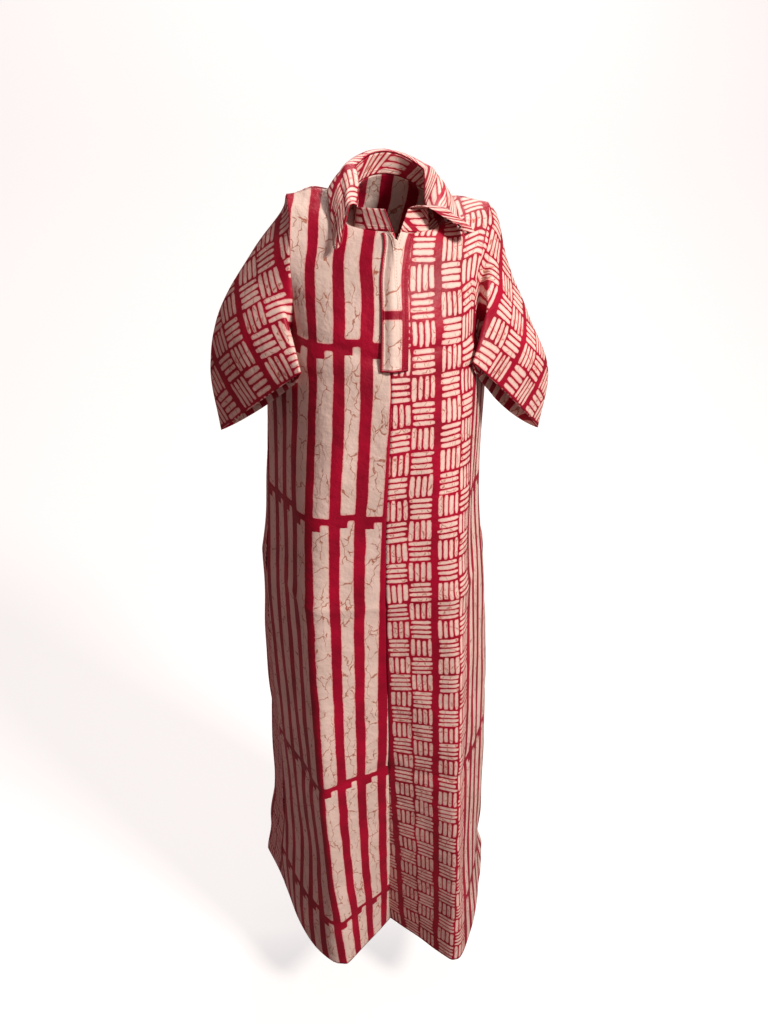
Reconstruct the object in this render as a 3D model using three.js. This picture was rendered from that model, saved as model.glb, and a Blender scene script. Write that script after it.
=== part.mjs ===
// A long, short-sleeved kaftan in stiff starched cotton, worn open-legged and
// hanging from the shoulders. All sizes are millimetres, +Z is up and the
// wearer faces -Y, so the wearer's left is +X. The origin lies on the body's
// axis at the height of the shoulder seams, where the wearer carries the cloth.
import * as THREE from 'three';

// ---- driving sizes -------------------------------------------------------
const WALL = 1.5;            // cloth with its turned edges
const STRIP_WALL = 1.2;      // placket strips
const SEAM_GAP = 0.3;        // clearance between neighbouring pieces
const HEM = -1386;           // level of the bottom hem
const UNDERARM = -235;       // level where the side seam ends and the armhole starts
const FRONT_NECK = -52;      // level of the front neck point
const PLACKET_END = -205;    // level of the placket's squared end
const PLACKET_HALF = 15;     // half the width of the upper placket strip
const SHOULDER_HALF = 139;   // half the distance between the shoulder tips
const NECK_HALF = 51;        // half the width of the neck hole
const NECK_FRONT = -100;     // front of the neck hole
const NECK_BACK = 40;        // back of the neck hole
const SEAM_Y = 6;            // the shoulder seams lie just behind the body's axis
const NECK_RISE = 5;         // height of the shoulder seam at the neck
const TIP_RISE = -5;         // and at the shoulder tip
const SHOULDER_MID = (NECK_HALF + SHOULDER_HALF) / 2;
const SHOULDER_MID_RISE = (NECK_RISE + TIP_RISE) / 2;
const STAND = 27;            // height of the collar stand
const SHOULDER_LEAN = 0.045; // the wearer's left shoulder sits lower
const BACK_CROWN = 0.44;     // rise of the back neckline for each millimetre it bows back
const REFERENCE_DEPTH = 140; // depth at which "swing" is measured

// How the whole garment sits on the body, by height.
//   sway:  sideways shift
//   swing: further shift of the front, and the opposite shift of the back
//   skew:  turn of a section, as depth gained for each unit of width
const POSE = table(['z', 'sway', 'swing', 'skew'], [
  [HEM, 4, 5, -0.10],
  [-1280, -1.5, 6.5, -0.10],
  [-1180, 1.5, -2, -0.10],
  [-930, -0.5, -7.5, -0.05],
  [-760, -5, -6, -0.02],
  [-450, -12, -4, 0],
  [UNDERARM, -7, -3, 0],
  [-100, -7, 0, 0],
  [-50, 0, 0, 0],
  [0, 8, 0, 0],
  [60, 8, 0, 0],
]);

// The shoulder seam is pushed up beside the collar, more on the wearer's right.
const PEAK = { x: 104, y: 12, wide: 18, deep: 26, right: 6, left: 1.5, low: -60, high: -5 };

// Near the hem the cloth between the front fold and the side seam kicks out.
const KICK = { high: -1130, right: 30, left: 14, bunch: 0.6 };

// One half of the front, from the centre edge to the pressed fold.
const FRONT = table([
  'level', 'centreX', 'centreY', 'centreZ', 'foldX', 'foldY', 'foldZ', 'soft',
], [
  [HEM, 0, -56, HEM, 107, -158, HEM, 0.10],
  [-1290, 0, -66, -1290, 111, -150, -1290, 0.10],
  [-1180, 0, -78, -1180, 116, -147, -1180, 0.10],
  [-930, 0, -99, -930, 120, -141, -930, 0.12],
  [-760, 0, -112, -760, 120, -137, -760, 0.15],
  [-600, 0, -124, -600, 118, -134, -600, 0.20],
  [-450, 0, -136, -450, 115, -131, -450, 0.30],
  [-340, 0, -142, -340, 113, -128, -340, 0.45],
  [UNDERARM, 0, -143, UNDERARM, 110, -122, UNDERARM, 0.6],
  [-170, 0, -137, -170, 106, -112, -172, 0.8],
  [-105, 0, -120, -96, 101, -92, -110, 0.9],
  [-72, 0, -108, -56, 99, -75, -77, 0.9],
  [FRONT_NECK, 4, NECK_FRONT, -38, 98, -63, -56, 0.9],
  [-26, 49, -64, -39, 98, -31, -18, 0.9],
  [0, NECK_HALF, SEAM_Y, NECK_RISE, SHOULDER_MID, SEAM_Y, SHOULDER_MID_RISE, 0],
]);

// One half of the back, from the spine to the back corner. Its last row is
// the neckline, and the corner there is the neck end of the shoulder seam.
const BACK = table([
  'level', 'spineY', 'spineZ', 'cornerX', 'cornerY', 'cornerZ', 'soft', 'bow',
], [
  [HEM, 152, HEM, 246, 141, HEM, 0.12, 0],
  [-1290, 149, -1290, 228, 135, -1290, 0.15, 0],
  [-1180, 146, -1180, 226, 130, -1180, 0.2, 0],
  [-930, 140, -930, 221, 123, -930, 0.3, 0],
  [-760, 137, -760, 215, 119, -760, 0.4, 0],
  [-600, 134, -600, 200, 115, -600, 0.5, 0],
  [-450, 131, -450, 181, 111, -450, 0.6, 0],
  [-340, 128, -340, 171, 106, -340, 0.7, 0],
  [UNDERARM, 123, UNDERARM, 158, 98, UNDERARM, 0.8, 0],
  [-170, 115, -168, 140, 90, -170, 0.9, 0],
  [-105, 104, -106, 122, 80, -106, 0.9, 0],
  [FRONT_NECK, 88, -50, 100, 62, -50, 0.9, 2],
  [-26, 66, -8, 82, 36, -14, 0.6, 6],
  [0, NECK_BACK, 24, NECK_HALF, SEAM_Y, NECK_RISE, 0, 11],
]);

// The side seam, and above the underarm the two edges of the armhole.
const SIDE_SEAM = table(['level', 'x', 'y', 'z'], [
  [HEM, 212, 39, HEM],
  [-1180, 200, 34, -1180],
  [-930, 196, 30, -930],
  [-760, 193, 27, -760],
  [-600, 187, 24, -600],
  [-450, 172, 22, -450],
  [UNDERARM, 165, 18, UNDERARM],
]);
const FRONT_ARMHOLE = table(['level', 'x', 'y', 'z'], [
  [UNDERARM, 165, 18, UNDERARM],
  [-200, 148, -40, -206],
  [-170, 130, -62, -176],
  [-105, 123, -68, -118],
  [FRONT_NECK, 129, -53, -62],
  [-26, 135, -26, -25],
  [0, SHOULDER_HALF, SEAM_Y, TIP_RISE],
]);
const BACK_ARMHOLE = table(['level', 'x', 'y', 'z'], [
  [UNDERARM, 165, 18, UNDERARM],
  [-200, 155, 56, -206],
  [-170, 148, 68, -176],
  [-105, 140, 75, -118],
  [FRONT_NECK, 138, 60, -62],
  [-26, 138, 34, -24],
  [0, SHOULDER_HALF, SEAM_Y, TIP_RISE],
]);

// The hanging sleeves beyond the armhole, measured outwards from the shoulder
// tip: "top" is the outer fold, "fold" the pressed front fold and "under" the
// underarm seam; "fore" and "aft" are how far the two layers bow out.
const SLEEVE_COLUMNS = [
  'reach', 'topOut', 'topY', 'topZ', 'foldOut', 'foldY', 'foldZ', 'underOut', 'underY', 'underZ',
  'foreOut', 'foreY', 'foreZ', 'aftOut', 'aftY', 'aftZ',
];
const SLEEVE_RIGHT = table(SLEEVE_COLUMNS, [
  [0.25, 36, 5, -75, -8, -77, -144, 30, 0, -246, 4, -14, 0, 14, 66, -4],
  [0.5, 84, 5, -146, -15, -91, -170, 17, -36, -243, 8, -14, 2, 10, 62, -8],
  [0.75, 107, 5, -226, -19, -102, -190, 2, -70, -234, 8, -10, 0, 8, 56, -12],
  [1, 99, 5, -325, -22, -112, -209, -15, -98, -227, 3, -5, 0, 6, 56, -26],
]);
const SLEEVE_LEFT = table(SLEEVE_COLUMNS, [
  [0.25, 46, 5, -82, -1, -73, -135, 29, 0, -246, -14, -18, 22, 14, 66, -4],
  [0.5, 86, 5, -166, -10, -84, -160, 16, -34, -242, 4, -14, 4, 10, 62, -8],
  [0.75, 124, 5, -250, -16, -93, -186, 4, -68, -234, 8, -10, 0, 10, 60, -12],
  [1, 120, 5, -346, -22, -101, -207, -15, -90, -224, 3, -5, 0, 18, 74, -36],
]);

// The collar's fall, by place round the neck from its right front corner to
// its left: where its free edge lies from the stand's top edge. The left
// point is spread wide and the right one hangs.
const FALL = table(['place', 'outX', 'outY', 'drop'], [
  [0, -18, -28, 42],
  [0.05, -33, -50, 59],
  [0.12, -36, -24, 28],
  [0.28, -20, 14, 24],
  [0.5, 0, 32, 28],
  [0.72, 22, 14, 24],
  [0.88, 51, -8, 27],
  [1, 79, 15, 33],
]);

// How far the upper placket strip's free edge reaches past the centre line.
const PARTING = table(['level', 'edge'], [
  [PLACKET_END, PLACKET_HALF],
  [-150, 14],
  [-105, 8],
  [-63, 0],
  [FRONT_NECK, -7],
]);

const CLOTH_STRIPES = { color: 0xb4143c, roughness: 0.5, metalness: 0 };
const CLOTH_BASKET = { color: 0xd8a8a0, roughness: 0.5, metalness: 0 };
const CLOTH_CREAM = { color: 0xe2d8c8, roughness: 0.55, metalness: 0 };

// ---- small helpers -------------------------------------------------------
function table(columns, rows) {
  return { columns, rows };
}

// Reads a table at a value of its first column, smoothly between the rows and
// without passing beyond them.
function lookup({ columns, rows }, at) {
  const key = THREE.MathUtils.clamp(at, rows[0][0], rows[rows.length - 1][0]);
  let k = 0;
  while (k < rows.length - 2 && key > rows[k + 1][0]) k += 1;
  const span = rows[k + 1][0] - rows[k][0];
  const t = (key - rows[k][0]) / span;
  const secant = (i, c) => (rows[i + 1][c] - rows[i][c]) / (rows[i + 1][0] - rows[i][0]);
  const slope = (i, c) => {
    if (i === 0) return secant(0, c);
    if (i === rows.length - 1) return secant(i - 1, c);
    const before = secant(i - 1, c);
    const after = secant(i, c);
    return before * after > 0 ? 2 * before * after / (before + after) : 0;
  };
  const result = {};
  columns.forEach((name, c) => {
    const a = rows[k][c];
    const b = rows[k + 1][c];
    const ma = slope(k, c) * span;
    const mb = slope(k + 1, c) * span;
    const t2 = t * t;
    const t3 = t2 * t;
    result[name] = a * (2 * t3 - 3 * t2 + 1) + ma * (t3 - 2 * t2 + t)
      + b * (3 * t2 - 2 * t3) + mb * (t3 - t2);
  });
  return result;
}

const vec = (x, y, z) => new THREE.Vector3(x, y, z);

// A point of the line a - corner - b, whose corner is rounded by "soft".
// "at" runs from -1 at a, through 0 at the corner, to 1 at b.
function bend(a, corner, b, at, soft) {
  const before = corner.clone().sub(a);
  const after = b.clone().sub(corner);
  const reach = soft * Math.min(before.length(), after.length());
  const along = at < 0 ? at * before.length() : at * after.length();
  const point = corner.clone();
  if (along <= -reach) return point.addScaledVector(before.normalize(), along);
  if (along >= reach) return point.addScaledVector(after.normalize(), along);
  point.addScaledVector(before.normalize(), -((reach - along) ** 2) / (4 * reach));
  return point.addScaledVector(after.normalize(), ((reach + along) ** 2) / (4 * reach));
}

// Moves a point of the symmetric garment to where it hangs on the body.
function settle(point) {
  const pose = lookup(POSE, point.z);
  const lift = THREE.MathUtils.smoothstep(point.z, UNDERARM, 0);
  const x = point.x + pose.sway - pose.swing * point.y / REFERENCE_DEPTH;
  const away = ((Math.abs(point.x) - PEAK.x) / PEAK.wide) ** 2 + ((point.y - PEAK.y) / PEAK.deep) ** 2;
  const peak = Math.exp(-away) * (point.x < 0 ? PEAK.right : PEAK.left)
    * THREE.MathUtils.smoothstep(point.z, PEAK.low, PEAK.high);
  return vec(x, point.y + pose.skew * point.x, point.z - SHOULDER_LEAN * point.x * lift + peak);
}

// ---- the garment's surfaces ----------------------------------------------
function edgePoint(side, level, armholeEdge) {
  const row = lookup(level > UNDERARM ? armholeEdge : SIDE_SEAM, level);
  return vec(side * row.x, row.y, row.z);
}

function frontPoint(side, at, level) {
  const row = lookup(FRONT, level);
  const centre = vec(side * row.centreX, row.centreY, row.centreZ);
  const fold = vec(side * row.foldX, row.foldY, row.foldZ);
  const point = bend(centre, fold, edgePoint(side, level, FRONT_ARMHOLE), at, row.soft);
  const grow = THREE.MathUtils.smoothstep(KICK.high - level, 0, KICK.high - HEM);
  const kick = (side < 0 ? KICK.right : KICK.left) * grow;
  const spread = Math.sin(Math.PI * Math.max(at, 0) ** KICK.bunch);
  return settle(point.add(vec(side * kick * spread, 0, 0)));
}

function backPoint(side, at, level) {
  const row = lookup(BACK, level);
  const spine = vec(0, row.spineY, row.spineZ);
  const corner = vec(side * row.cornerX, row.cornerY, row.cornerZ);
  const point = bend(spine, corner, edgePoint(side, level, BACK_ARMHOLE), at, row.soft);
  const bow = at < 0 ? row.bow * Math.sin(Math.PI * (at + 1)) : 0;
  return settle(point.add(vec(0, bow, BACK_CROWN * bow)));
}

// ---- pieces --------------------------------------------------------------
// A piece is a grid of points on the cloth's middle surface. "outward" is 1
// where columns x rows points out of the garment, and -1 where it points in.
function piece(name, grid, outward, wall, look) {
  const rows = grid.length;
  const columns = grid[0].length;
  const normals = grid.map((row, i) => row.map((_, j) => {
    const du = grid[i][Math.min(j + 1, columns - 1)].clone().sub(grid[i][Math.max(j - 1, 0)]);
    const dv = grid[Math.min(i + 1, rows - 1)][j].clone().sub(grid[Math.max(i - 1, 0)][j]);
    return du.cross(dv).normalize().multiplyScalar(outward);
  }));
  return { name, grid, normals, outward, wall, look };
}

function isRim(grid, i, j) {
  return i === 0 || j === 0 || i === grid.length - 1 || j === grid[0].length - 1;
}

// Gives edges that meet in a seam one shared normal, so that they mitre.
function mitreSeams(pieces) {
  const meetings = new Map();
  pieces.forEach(({ grid, normals }) => grid.forEach((row, i) => row.forEach((point, j) => {
    if (!isRim(grid, i, j)) return;
    const key = point.toArray().map((value) => Math.round(value * 50)).join(',');
    if (!meetings.has(key)) meetings.set(key, []);
    meetings.get(key).push(normals[i][j]);
  })));
  meetings.forEach((normals) => {
    const sum = normals.reduce((total, normal) => total.add(normal), vec(0, 0, 0)).normalize();
    normals.forEach((normal) => normal.copy(sum));
  });
}

// Draws every edge of a piece in by half the seam gap.
function insetEdges(grid) {
  const rows = grid.length;
  const columns = grid[0].length;
  const half = SEAM_GAP / 2;
  const pull = (point, inner, before, after) => {
    const tangent = after.clone().sub(before).normalize();
    const inward = inner.clone().sub(point);
    inward.addScaledVector(tangent, -inward.dot(tangent)).normalize();
    return point.clone().addScaledVector(inward, half);
  };
  const pullColumn = (source, j, inner) => source.map((row, i) => pull(
    row[j], row[inner], source[Math.max(i - 1, 0)][j], source[Math.min(i + 1, rows - 1)][j],
  ));
  const first = pullColumn(grid, 0, 1);
  const last = pullColumn(grid, columns - 1, columns - 2);
  const sides = grid.map((row, i) => [first[i], ...row.slice(1, -1), last[i]]);
  const pullRow = (i, inner) => sides[i].map((point, j) => pull(
    point, sides[inner][j], sides[i][Math.max(j - 1, 0)], sides[i][Math.min(j + 1, columns - 1)],
  ));
  return [pullRow(0, 1), ...sides.slice(1, -1), pullRow(rows - 1, rows - 2)];
}

// Thickens a piece's grid to a closed wall.
function shellMesh({ name, grid, normals, outward, wall, look }) {
  const inset = insetEdges(grid);
  const rows = inset.length;
  const columns = inset[0].length;
  const positions = [];
  [wall / 2, -wall / 2].forEach((offset) => inset.forEach((row, i) => row.forEach((point, j) => {
    positions.push(...point.clone().addScaledVector(normals[i][j], offset).toArray());
  })));
  const outer = (i, j) => i * columns + j;
  const inner = (i, j) => rows * columns + i * columns + j;
  const triangles = [];
  const quad = (a, b, c, d) => {
    if (outward > 0) triangles.push(a, b, c, a, c, d);
    else triangles.push(a, c, b, a, d, c);
  };
  for (let i = 0; i < rows - 1; i += 1) {
    for (let j = 0; j < columns - 1; j += 1) {
      quad(outer(i, j), outer(i, j + 1), outer(i + 1, j + 1), outer(i + 1, j));
      quad(inner(i, j), inner(i + 1, j), inner(i + 1, j + 1), inner(i, j + 1));
    }
  }
  for (let j = 0; j < columns - 1; j += 1) {
    quad(outer(0, j + 1), outer(0, j), inner(0, j), inner(0, j + 1));
    quad(outer(rows - 1, j), outer(rows - 1, j + 1), inner(rows - 1, j + 1), inner(rows - 1, j));
  }
  for (let i = 0; i < rows - 1; i += 1) {
    quad(outer(i, 0), outer(i + 1, 0), inner(i + 1, 0), inner(i, 0));
    quad(outer(i + 1, columns - 1), outer(i, columns - 1), inner(i, columns - 1), inner(i + 1, columns - 1));
  }
  const geometry = new THREE.BufferGeometry();
  geometry.setAttribute('position', new THREE.Float32BufferAttribute(positions, 3));
  geometry.setIndex(triangles);
  geometry.computeVertexNormals();
  const mesh = new THREE.Mesh(geometry, new THREE.MeshStandardMaterial(look));
  mesh.name = name;
  return mesh;
}

// Evenly parted values from one end to the other, both ends included.
function steps(from, to, count) {
  return Array.from({ length: count + 1 }, (_, k) => from + (to - from) * k / count);
}

// ---- body ----------------------------------------------------------------
const SKIRT_LEVELS = steps(HEM, UNDERARM, 24);
const CHEST_LEVELS = steps(UNDERARM, FRONT_NECK, 7).slice(1);
const NECK_LEVELS = steps(FRONT_NECK, 0, 4).slice(1);
const ARMHOLE_LEVELS = [UNDERARM, ...CHEST_LEVELS, ...NECK_LEVELS];
const LEVELS = [...SKIRT_LEVELS, ...CHEST_LEVELS, ...NECK_LEVELS];

const FRONT_PLACES = steps(-1, 1, 12);
const SPINE_PLACES = steps(-1, 0, 6);
const CORNER_PLACES = steps(0, 1, 12).slice(1);
const BACK_PLACES = [...SPINE_PLACES, ...CORNER_PLACES];

function frontPanel(side, name, look) {
  const grid = LEVELS.map((level) => FRONT_PLACES.map((at) => frontPoint(side, at, level)));
  return piece(name, grid, side, WALL, look);
}

function backPanel() {
  const grid = LEVELS.map((level) => [
    ...[...BACK_PLACES].reverse().map((at) => backPoint(-1, at, level)),
    ...BACK_PLACES.slice(1).map((at) => backPoint(1, at, level)),
  ]);
  return piece('back', grid, -1, WALL, CLOTH_STRIPES);
}

// ---- sleeves -------------------------------------------------------------
// The armhole as a loop: from the underarm up the front, over the shoulder
// tip and down the back. "place" is 0 at the tip and 1 at the underarm.
function armhole(side) {
  const place = (level) => level / UNDERARM;
  const aftLevels = [...ARMHOLE_LEVELS].reverse().slice(1);
  return [
    ...ARMHOLE_LEVELS.map((level) => ({
      point: frontPoint(side, 1, level), place: place(level), layer: 'fore',
    })),
    ...aftLevels.map((level) => ({
      point: backPoint(side, 1, level), place: place(level), layer: 'aft',
    })),
  ];
}

const SLEEVE_REACHES = [0.25, 0.5, 0.75, 1];
const SLEEVE_RINGS = 15;
const SLEEVE_FOLD = 0.555;   // place where the front fold leaves the armhole
const FOLD_SOFT = 0.12;      // the front fold's rounding
const BOW_POWER = 0.8;       // makes the layers' bow a little fuller than a sine

// The way the cloth leaves the armhole: at the shoulder tip, halfway down the
// front, halfway down the back, and at the underarm.
const HEADS_RIGHT = { tip: [4, 0, -15], fore: [5, -2, -8], aft: [10, 8, -8], under: [10, -4, -8] };
const HEADS_LEFT = { tip: [13, 0, -15], fore: [8, 12, -6], aft: [10, 8, -8], under: [10, -4, -8] };

function headStep(side, place, layer) {
  const heads = side < 0 ? HEADS_RIGHT : HEADS_LEFT;
  const middle = vec(...heads[layer]);
  const end = vec(...(place < 0.5 ? heads.tip : heads.under));
  return end.lerp(middle, Math.sin(Math.PI * place)).multiply(vec(side, 1, 1));
}

// A point of the sleeve's section. The front layer runs from the outer fold
// over the front fold to the underarm seam, the back layer straight there.
function sleevePoint(side, reach, place, layer) {
  const row = lookup(side < 0 ? SLEEVE_RIGHT : SLEEVE_LEFT, reach);
  const top = vec(row.topOut, row.topY, row.topZ);
  const fold = vec(row.foldOut, row.foldY, row.foldZ);
  const under = vec(row.underOut, row.underY, row.underZ);
  const bow = (share) => Math.sin(Math.PI * Math.min(share, 1)) ** BOW_POWER;
  let point;
  if (layer === 'fore') {
    const share = place / SLEEVE_FOLD;
    const at = share < 1 ? share - 1 : (place - SLEEVE_FOLD) / (1 - SLEEVE_FOLD);
    point = bend(top, fold, under, at, FOLD_SOFT);
    point.addScaledVector(vec(row.foreOut, row.foreY, row.foreZ), bow(share));
  } else {
    point = top.lerp(under, place);
    point.addScaledVector(vec(row.aftOut, row.aftY, row.aftZ), bow(place));
  }
  return settle(vec(side * (SHOULDER_HALF + point.x), point.y, point.z));
}

function sleeve(side, name) {
  const threads = armhole(side).map(({ point, place, layer }) => new THREE.CatmullRomCurve3([
    point,
    point.clone().add(headStep(side, place, layer)),
    ...SLEEVE_REACHES.map((reach) => sleevePoint(side, reach, place, layer)),
  ], false, 'centripetal'));
  const grid = steps(0, 1, SLEEVE_RINGS).map((t) => threads.map((thread) => thread.getPoint(t)));
  return piece(name, grid, -side, WALL, CLOTH_BASKET);
}

// ---- collar --------------------------------------------------------------
// The neckline as a line of points, from the wearer's right front edge
// round the back of the neck to the left front edge.
function neckline() {
  const neckLevels = [FRONT_NECK, ...NECK_LEVELS];
  const right = neckLevels.map((level) => frontPoint(-1, -1, level));
  const left = neckLevels.map((level) => frontPoint(1, -1, level)).reverse();
  const backRight = [...SPINE_PLACES].reverse().slice(1).map((at) => backPoint(-1, at, 0));
  const backLeft = SPINE_PLACES.slice(1).map((at) => backPoint(1, at, 0));
  return [...right, ...backRight, ...backLeft, ...left.slice(1)];
}

const STAND_RINGS = 3;
const FALL_RINGS = 5;
const STAND_LEAN_IN = 7;     // the stand's top edge lies this far inside its foot
const STAND_SPLAY = 11;      // and its front ends lean this far apart
const SPLAY_FROM = 0.36;     // from this far round from the middle of the back
const COLLAR_ROLL = 4;       // rise of the roll where the fall leaves the stand
const COLLAR_SPREAD = 6;     // the fall stands this far off the stand
const FALL_START = 2;        // neckline points that the right end of the stand stays bare

function neckCentre() {
  return settle(vec(0, (NECK_FRONT + NECK_BACK) / 2, 0));
}

// A point of the stand over a neckline point. "place" runs from 0 at the
// stand's right end to 1 at its left.
function standPoint(foot, place, rise) {
  const inward = neckCentre().sub(foot).setZ(0).normalize();
  const splay = THREE.MathUtils.smoothstep(Math.abs(place - 0.5), SPLAY_FROM, 0.5) * STAND_SPLAY;
  return foot.clone().addScaledVector(inward, STAND_LEAN_IN * rise)
    .add(vec(Math.sign(place - 0.5) * splay * rise, 0, STAND * rise));
}

function collarStand() {
  const line = neckline();
  const grid = steps(0, 1, STAND_RINGS).map((rise) => line
    .map((foot, k) => standPoint(foot, k / (line.length - 1), rise)));
  return piece('collar_stand', grid, -1, WALL, CLOTH_BASKET);
}

function collarFall() {
  const line = neckline();
  const end = line.length - 1;
  const grid = steps(0, 1, FALL_RINGS).map((t) => line.slice(FALL_START).map((foot, k) => {
    const row = lookup(FALL, k / (end - FALL_START));
    const roll = COLLAR_ROLL * Math.sin(Math.PI * Math.min(t * 2, 1));
    const rise = WALL / 2 + 2 * SEAM_GAP + roll - row.drop * t * t;
    const top = standPoint(foot, (k + FALL_START) / end, 1);
    const outward = top.clone().sub(neckCentre()).setZ(0).normalize();
    top.addScaledVector(outward, COLLAR_SPREAD * Math.sin(Math.PI / 2 * Math.min(t * 3, 1)));
    return top.add(vec(row.outX * t, row.outY * t, rise));
  }));
  return piece('collar_fall', grid, 1, WALL, CLOTH_BASKET);
}

// ---- placket -------------------------------------------------------------
// A point of the front at a distance from the centre line along a level,
// positive on the wearer's left.
function besideCentre(distance, level) {
  const row = lookup(FRONT, level);
  const width = Math.hypot(row.foldX - row.centreX, row.foldY - row.centreY, row.foldZ - row.centreZ);
  return frontPoint(Math.sign(distance), Math.abs(distance) / width - 1, level);
}

// A strip that lies on the front, made from its points moved out. "spanAt"
// gives the strip's two edges at a level and "liftAt" how far out it lies.
function strip(name, levels, columns, spanAt, liftAt) {
  const distances = (level) => steps(...spanAt(level), columns);
  const ground = piece(name, levels.map((level) => distances(level)
    .map((distance) => besideCentre(distance, level))), 1, STRIP_WALL, CLOTH_CREAM);
  ground.grid = ground.grid.map((row, i) => row.map((point, j) => {
    const lift = liftAt(distances(levels[i])[j]);
    return point.clone().addScaledVector(ground.normals[i][j], lift);
  }));
  return ground;
}

const FIRST_LAYER = WALL / 2 + SEAM_GAP + STRIP_WALL / 2;
const SECOND_LAYER = FIRST_LAYER + SEAM_GAP + STRIP_WALL;
const UNDER_STRIP = [0.4, 22];    // edges of the under strip from the centre line
const LAP = { from: -10, to: -2, clear: 0.2 }; // where the upper strip climbs over the under one
const PLACKET_LEVELS = steps(PLACKET_END, FRONT_NECK, 10);

function placketUnder() {
  return strip('placket_under', PLACKET_LEVELS, 3, () => UNDER_STRIP, () => FIRST_LAYER);
}

function placketUpper() {
  const span = (level) => [-PLACKET_HALF, lookup(PARTING, level).edge];
  const lift = (distance) => THREE.MathUtils.lerp(
    FIRST_LAYER, SECOND_LAYER + LAP.clear, THREE.MathUtils.smoothstep(distance, LAP.from, LAP.to),
  );
  return strip('placket_upper', PLACKET_LEVELS, 6, span, lift);
}

// ---- assembly ------------------------------------------------------------
const stand = collarStand();
const sewn = [
  frontPanel(-1, 'front_right', CLOTH_STRIPES),
  frontPanel(1, 'front_left', CLOTH_BASKET),
  backPanel(),
  sleeve(-1, 'sleeve_right'),
  sleeve(1, 'sleeve_left'),
  stand,
];
mitreSeams(sewn);
// The neckline turns a corner at each shoulder seam, so the stand's foot is
// lifted clear of it.
stand.grid[0].forEach((foot) => foot.add(vec(0, 0, SEAM_GAP)));

const garment = new THREE.Group();
garment.name = 'kaftan';
[...sewn, collarFall(), placketUnder(), placketUpper()]
  .forEach((part) => garment.add(shellMesh(part)));

export default garment;
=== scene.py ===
"""Looks of a long, short-sleeved kaftan in crimson and cream wax-resist print.

The garment is polished, starched cotton damask. It hangs from the shoulders as
it is worn, holds the creases it was pressed into, and flares to an open hem.
Cloth is measured in millimetres here, as a cutter would, and turned to metres
where a mesh is made.
"""

import logging
import math
from collections.abc import Callable, Sequence
from dataclasses import dataclass, field
from enum import Enum

import bmesh
import bpy
import numpy as np
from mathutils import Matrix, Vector

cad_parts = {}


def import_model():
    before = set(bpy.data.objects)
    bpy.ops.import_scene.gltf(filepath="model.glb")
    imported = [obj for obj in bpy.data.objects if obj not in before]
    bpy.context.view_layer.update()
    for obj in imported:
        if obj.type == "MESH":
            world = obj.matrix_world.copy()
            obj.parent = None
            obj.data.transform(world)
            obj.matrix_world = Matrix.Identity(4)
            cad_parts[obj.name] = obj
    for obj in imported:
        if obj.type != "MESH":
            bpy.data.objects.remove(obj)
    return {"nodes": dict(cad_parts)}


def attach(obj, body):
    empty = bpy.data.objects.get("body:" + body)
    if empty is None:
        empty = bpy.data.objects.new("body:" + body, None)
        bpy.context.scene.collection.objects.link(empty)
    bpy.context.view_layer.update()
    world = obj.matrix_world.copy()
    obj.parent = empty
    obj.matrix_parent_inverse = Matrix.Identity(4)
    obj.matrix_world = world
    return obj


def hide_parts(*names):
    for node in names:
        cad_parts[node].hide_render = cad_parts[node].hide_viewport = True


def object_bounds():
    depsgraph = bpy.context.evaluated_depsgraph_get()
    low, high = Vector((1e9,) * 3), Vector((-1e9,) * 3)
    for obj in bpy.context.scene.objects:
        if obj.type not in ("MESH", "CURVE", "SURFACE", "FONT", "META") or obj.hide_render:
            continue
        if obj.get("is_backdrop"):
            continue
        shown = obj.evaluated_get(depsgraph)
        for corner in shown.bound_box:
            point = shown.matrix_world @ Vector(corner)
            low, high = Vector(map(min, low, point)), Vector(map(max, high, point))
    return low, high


LOG = logging.getLogger("kaftan")
MM = 0.001
Array = np.ndarray
Adder = Callable[..., object]

# ---------------------------------------------------------------- sizes
HEM = -1386.0
UNDERARM = -235.0
FRONT_NECK = -52.0
PLACKET_END = -205.0
PLACKET_HALF = 15.0
SHOULDER_HALF = 139.0
NECK_HALF = 51.0
NECK_FRONT = -100.0
NECK_BACK = 40.0
SEAM_Y = 6.0
NECK_RISE = 5.0
TIP_RISE = -5.0
SHOULDER_MID = (NECK_HALF + SHOULDER_HALF) / 2
SHOULDER_MID_RISE = (NECK_RISE + TIP_RISE) / 2
STAND = 27.0
STAND_LEAN_IN = 7.0
STAND_SPLAY = 11.0
COLLAR_ROLL = 4.0
COLLAR_SPREAD = 6.0
SHOULDER_LEAN = 0.045
REFERENCE_DEPTH = 140.0
BACK_CROWN = 0.44  # how much the back neckline arches up for each millimetre it bows back
SLEEVE_FOLD = 0.555  # where the sleeve's front fold starts, down the armhole
FOLD_SOFT = 0.12  # the front fold's rounding
BOW_POWER = 0.8  # makes the sleeve layers' bow a little fuller than a sine
SPLAY_FROM = 0.36  # the stand's ends lean apart from this far round from the middle
SEAM_GAP = 0.3
WALL = 1.5
STRIP_WALL = 1.2
STRIP_LIFT = WALL / 2 + SEAM_GAP + STRIP_WALL / 2  # from the front's middle to a strip's
STRIP_BREAK = -138.0  # level of the break in the placket strips' bar
LAP_FROM, LAP_TO, LAP_CLEAR = -10.0, -2.0, 0.2  # where the upper strip climbs over the under one
CLOTH = 0.9  # the shell's own thickness, a doubled cotton


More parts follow.
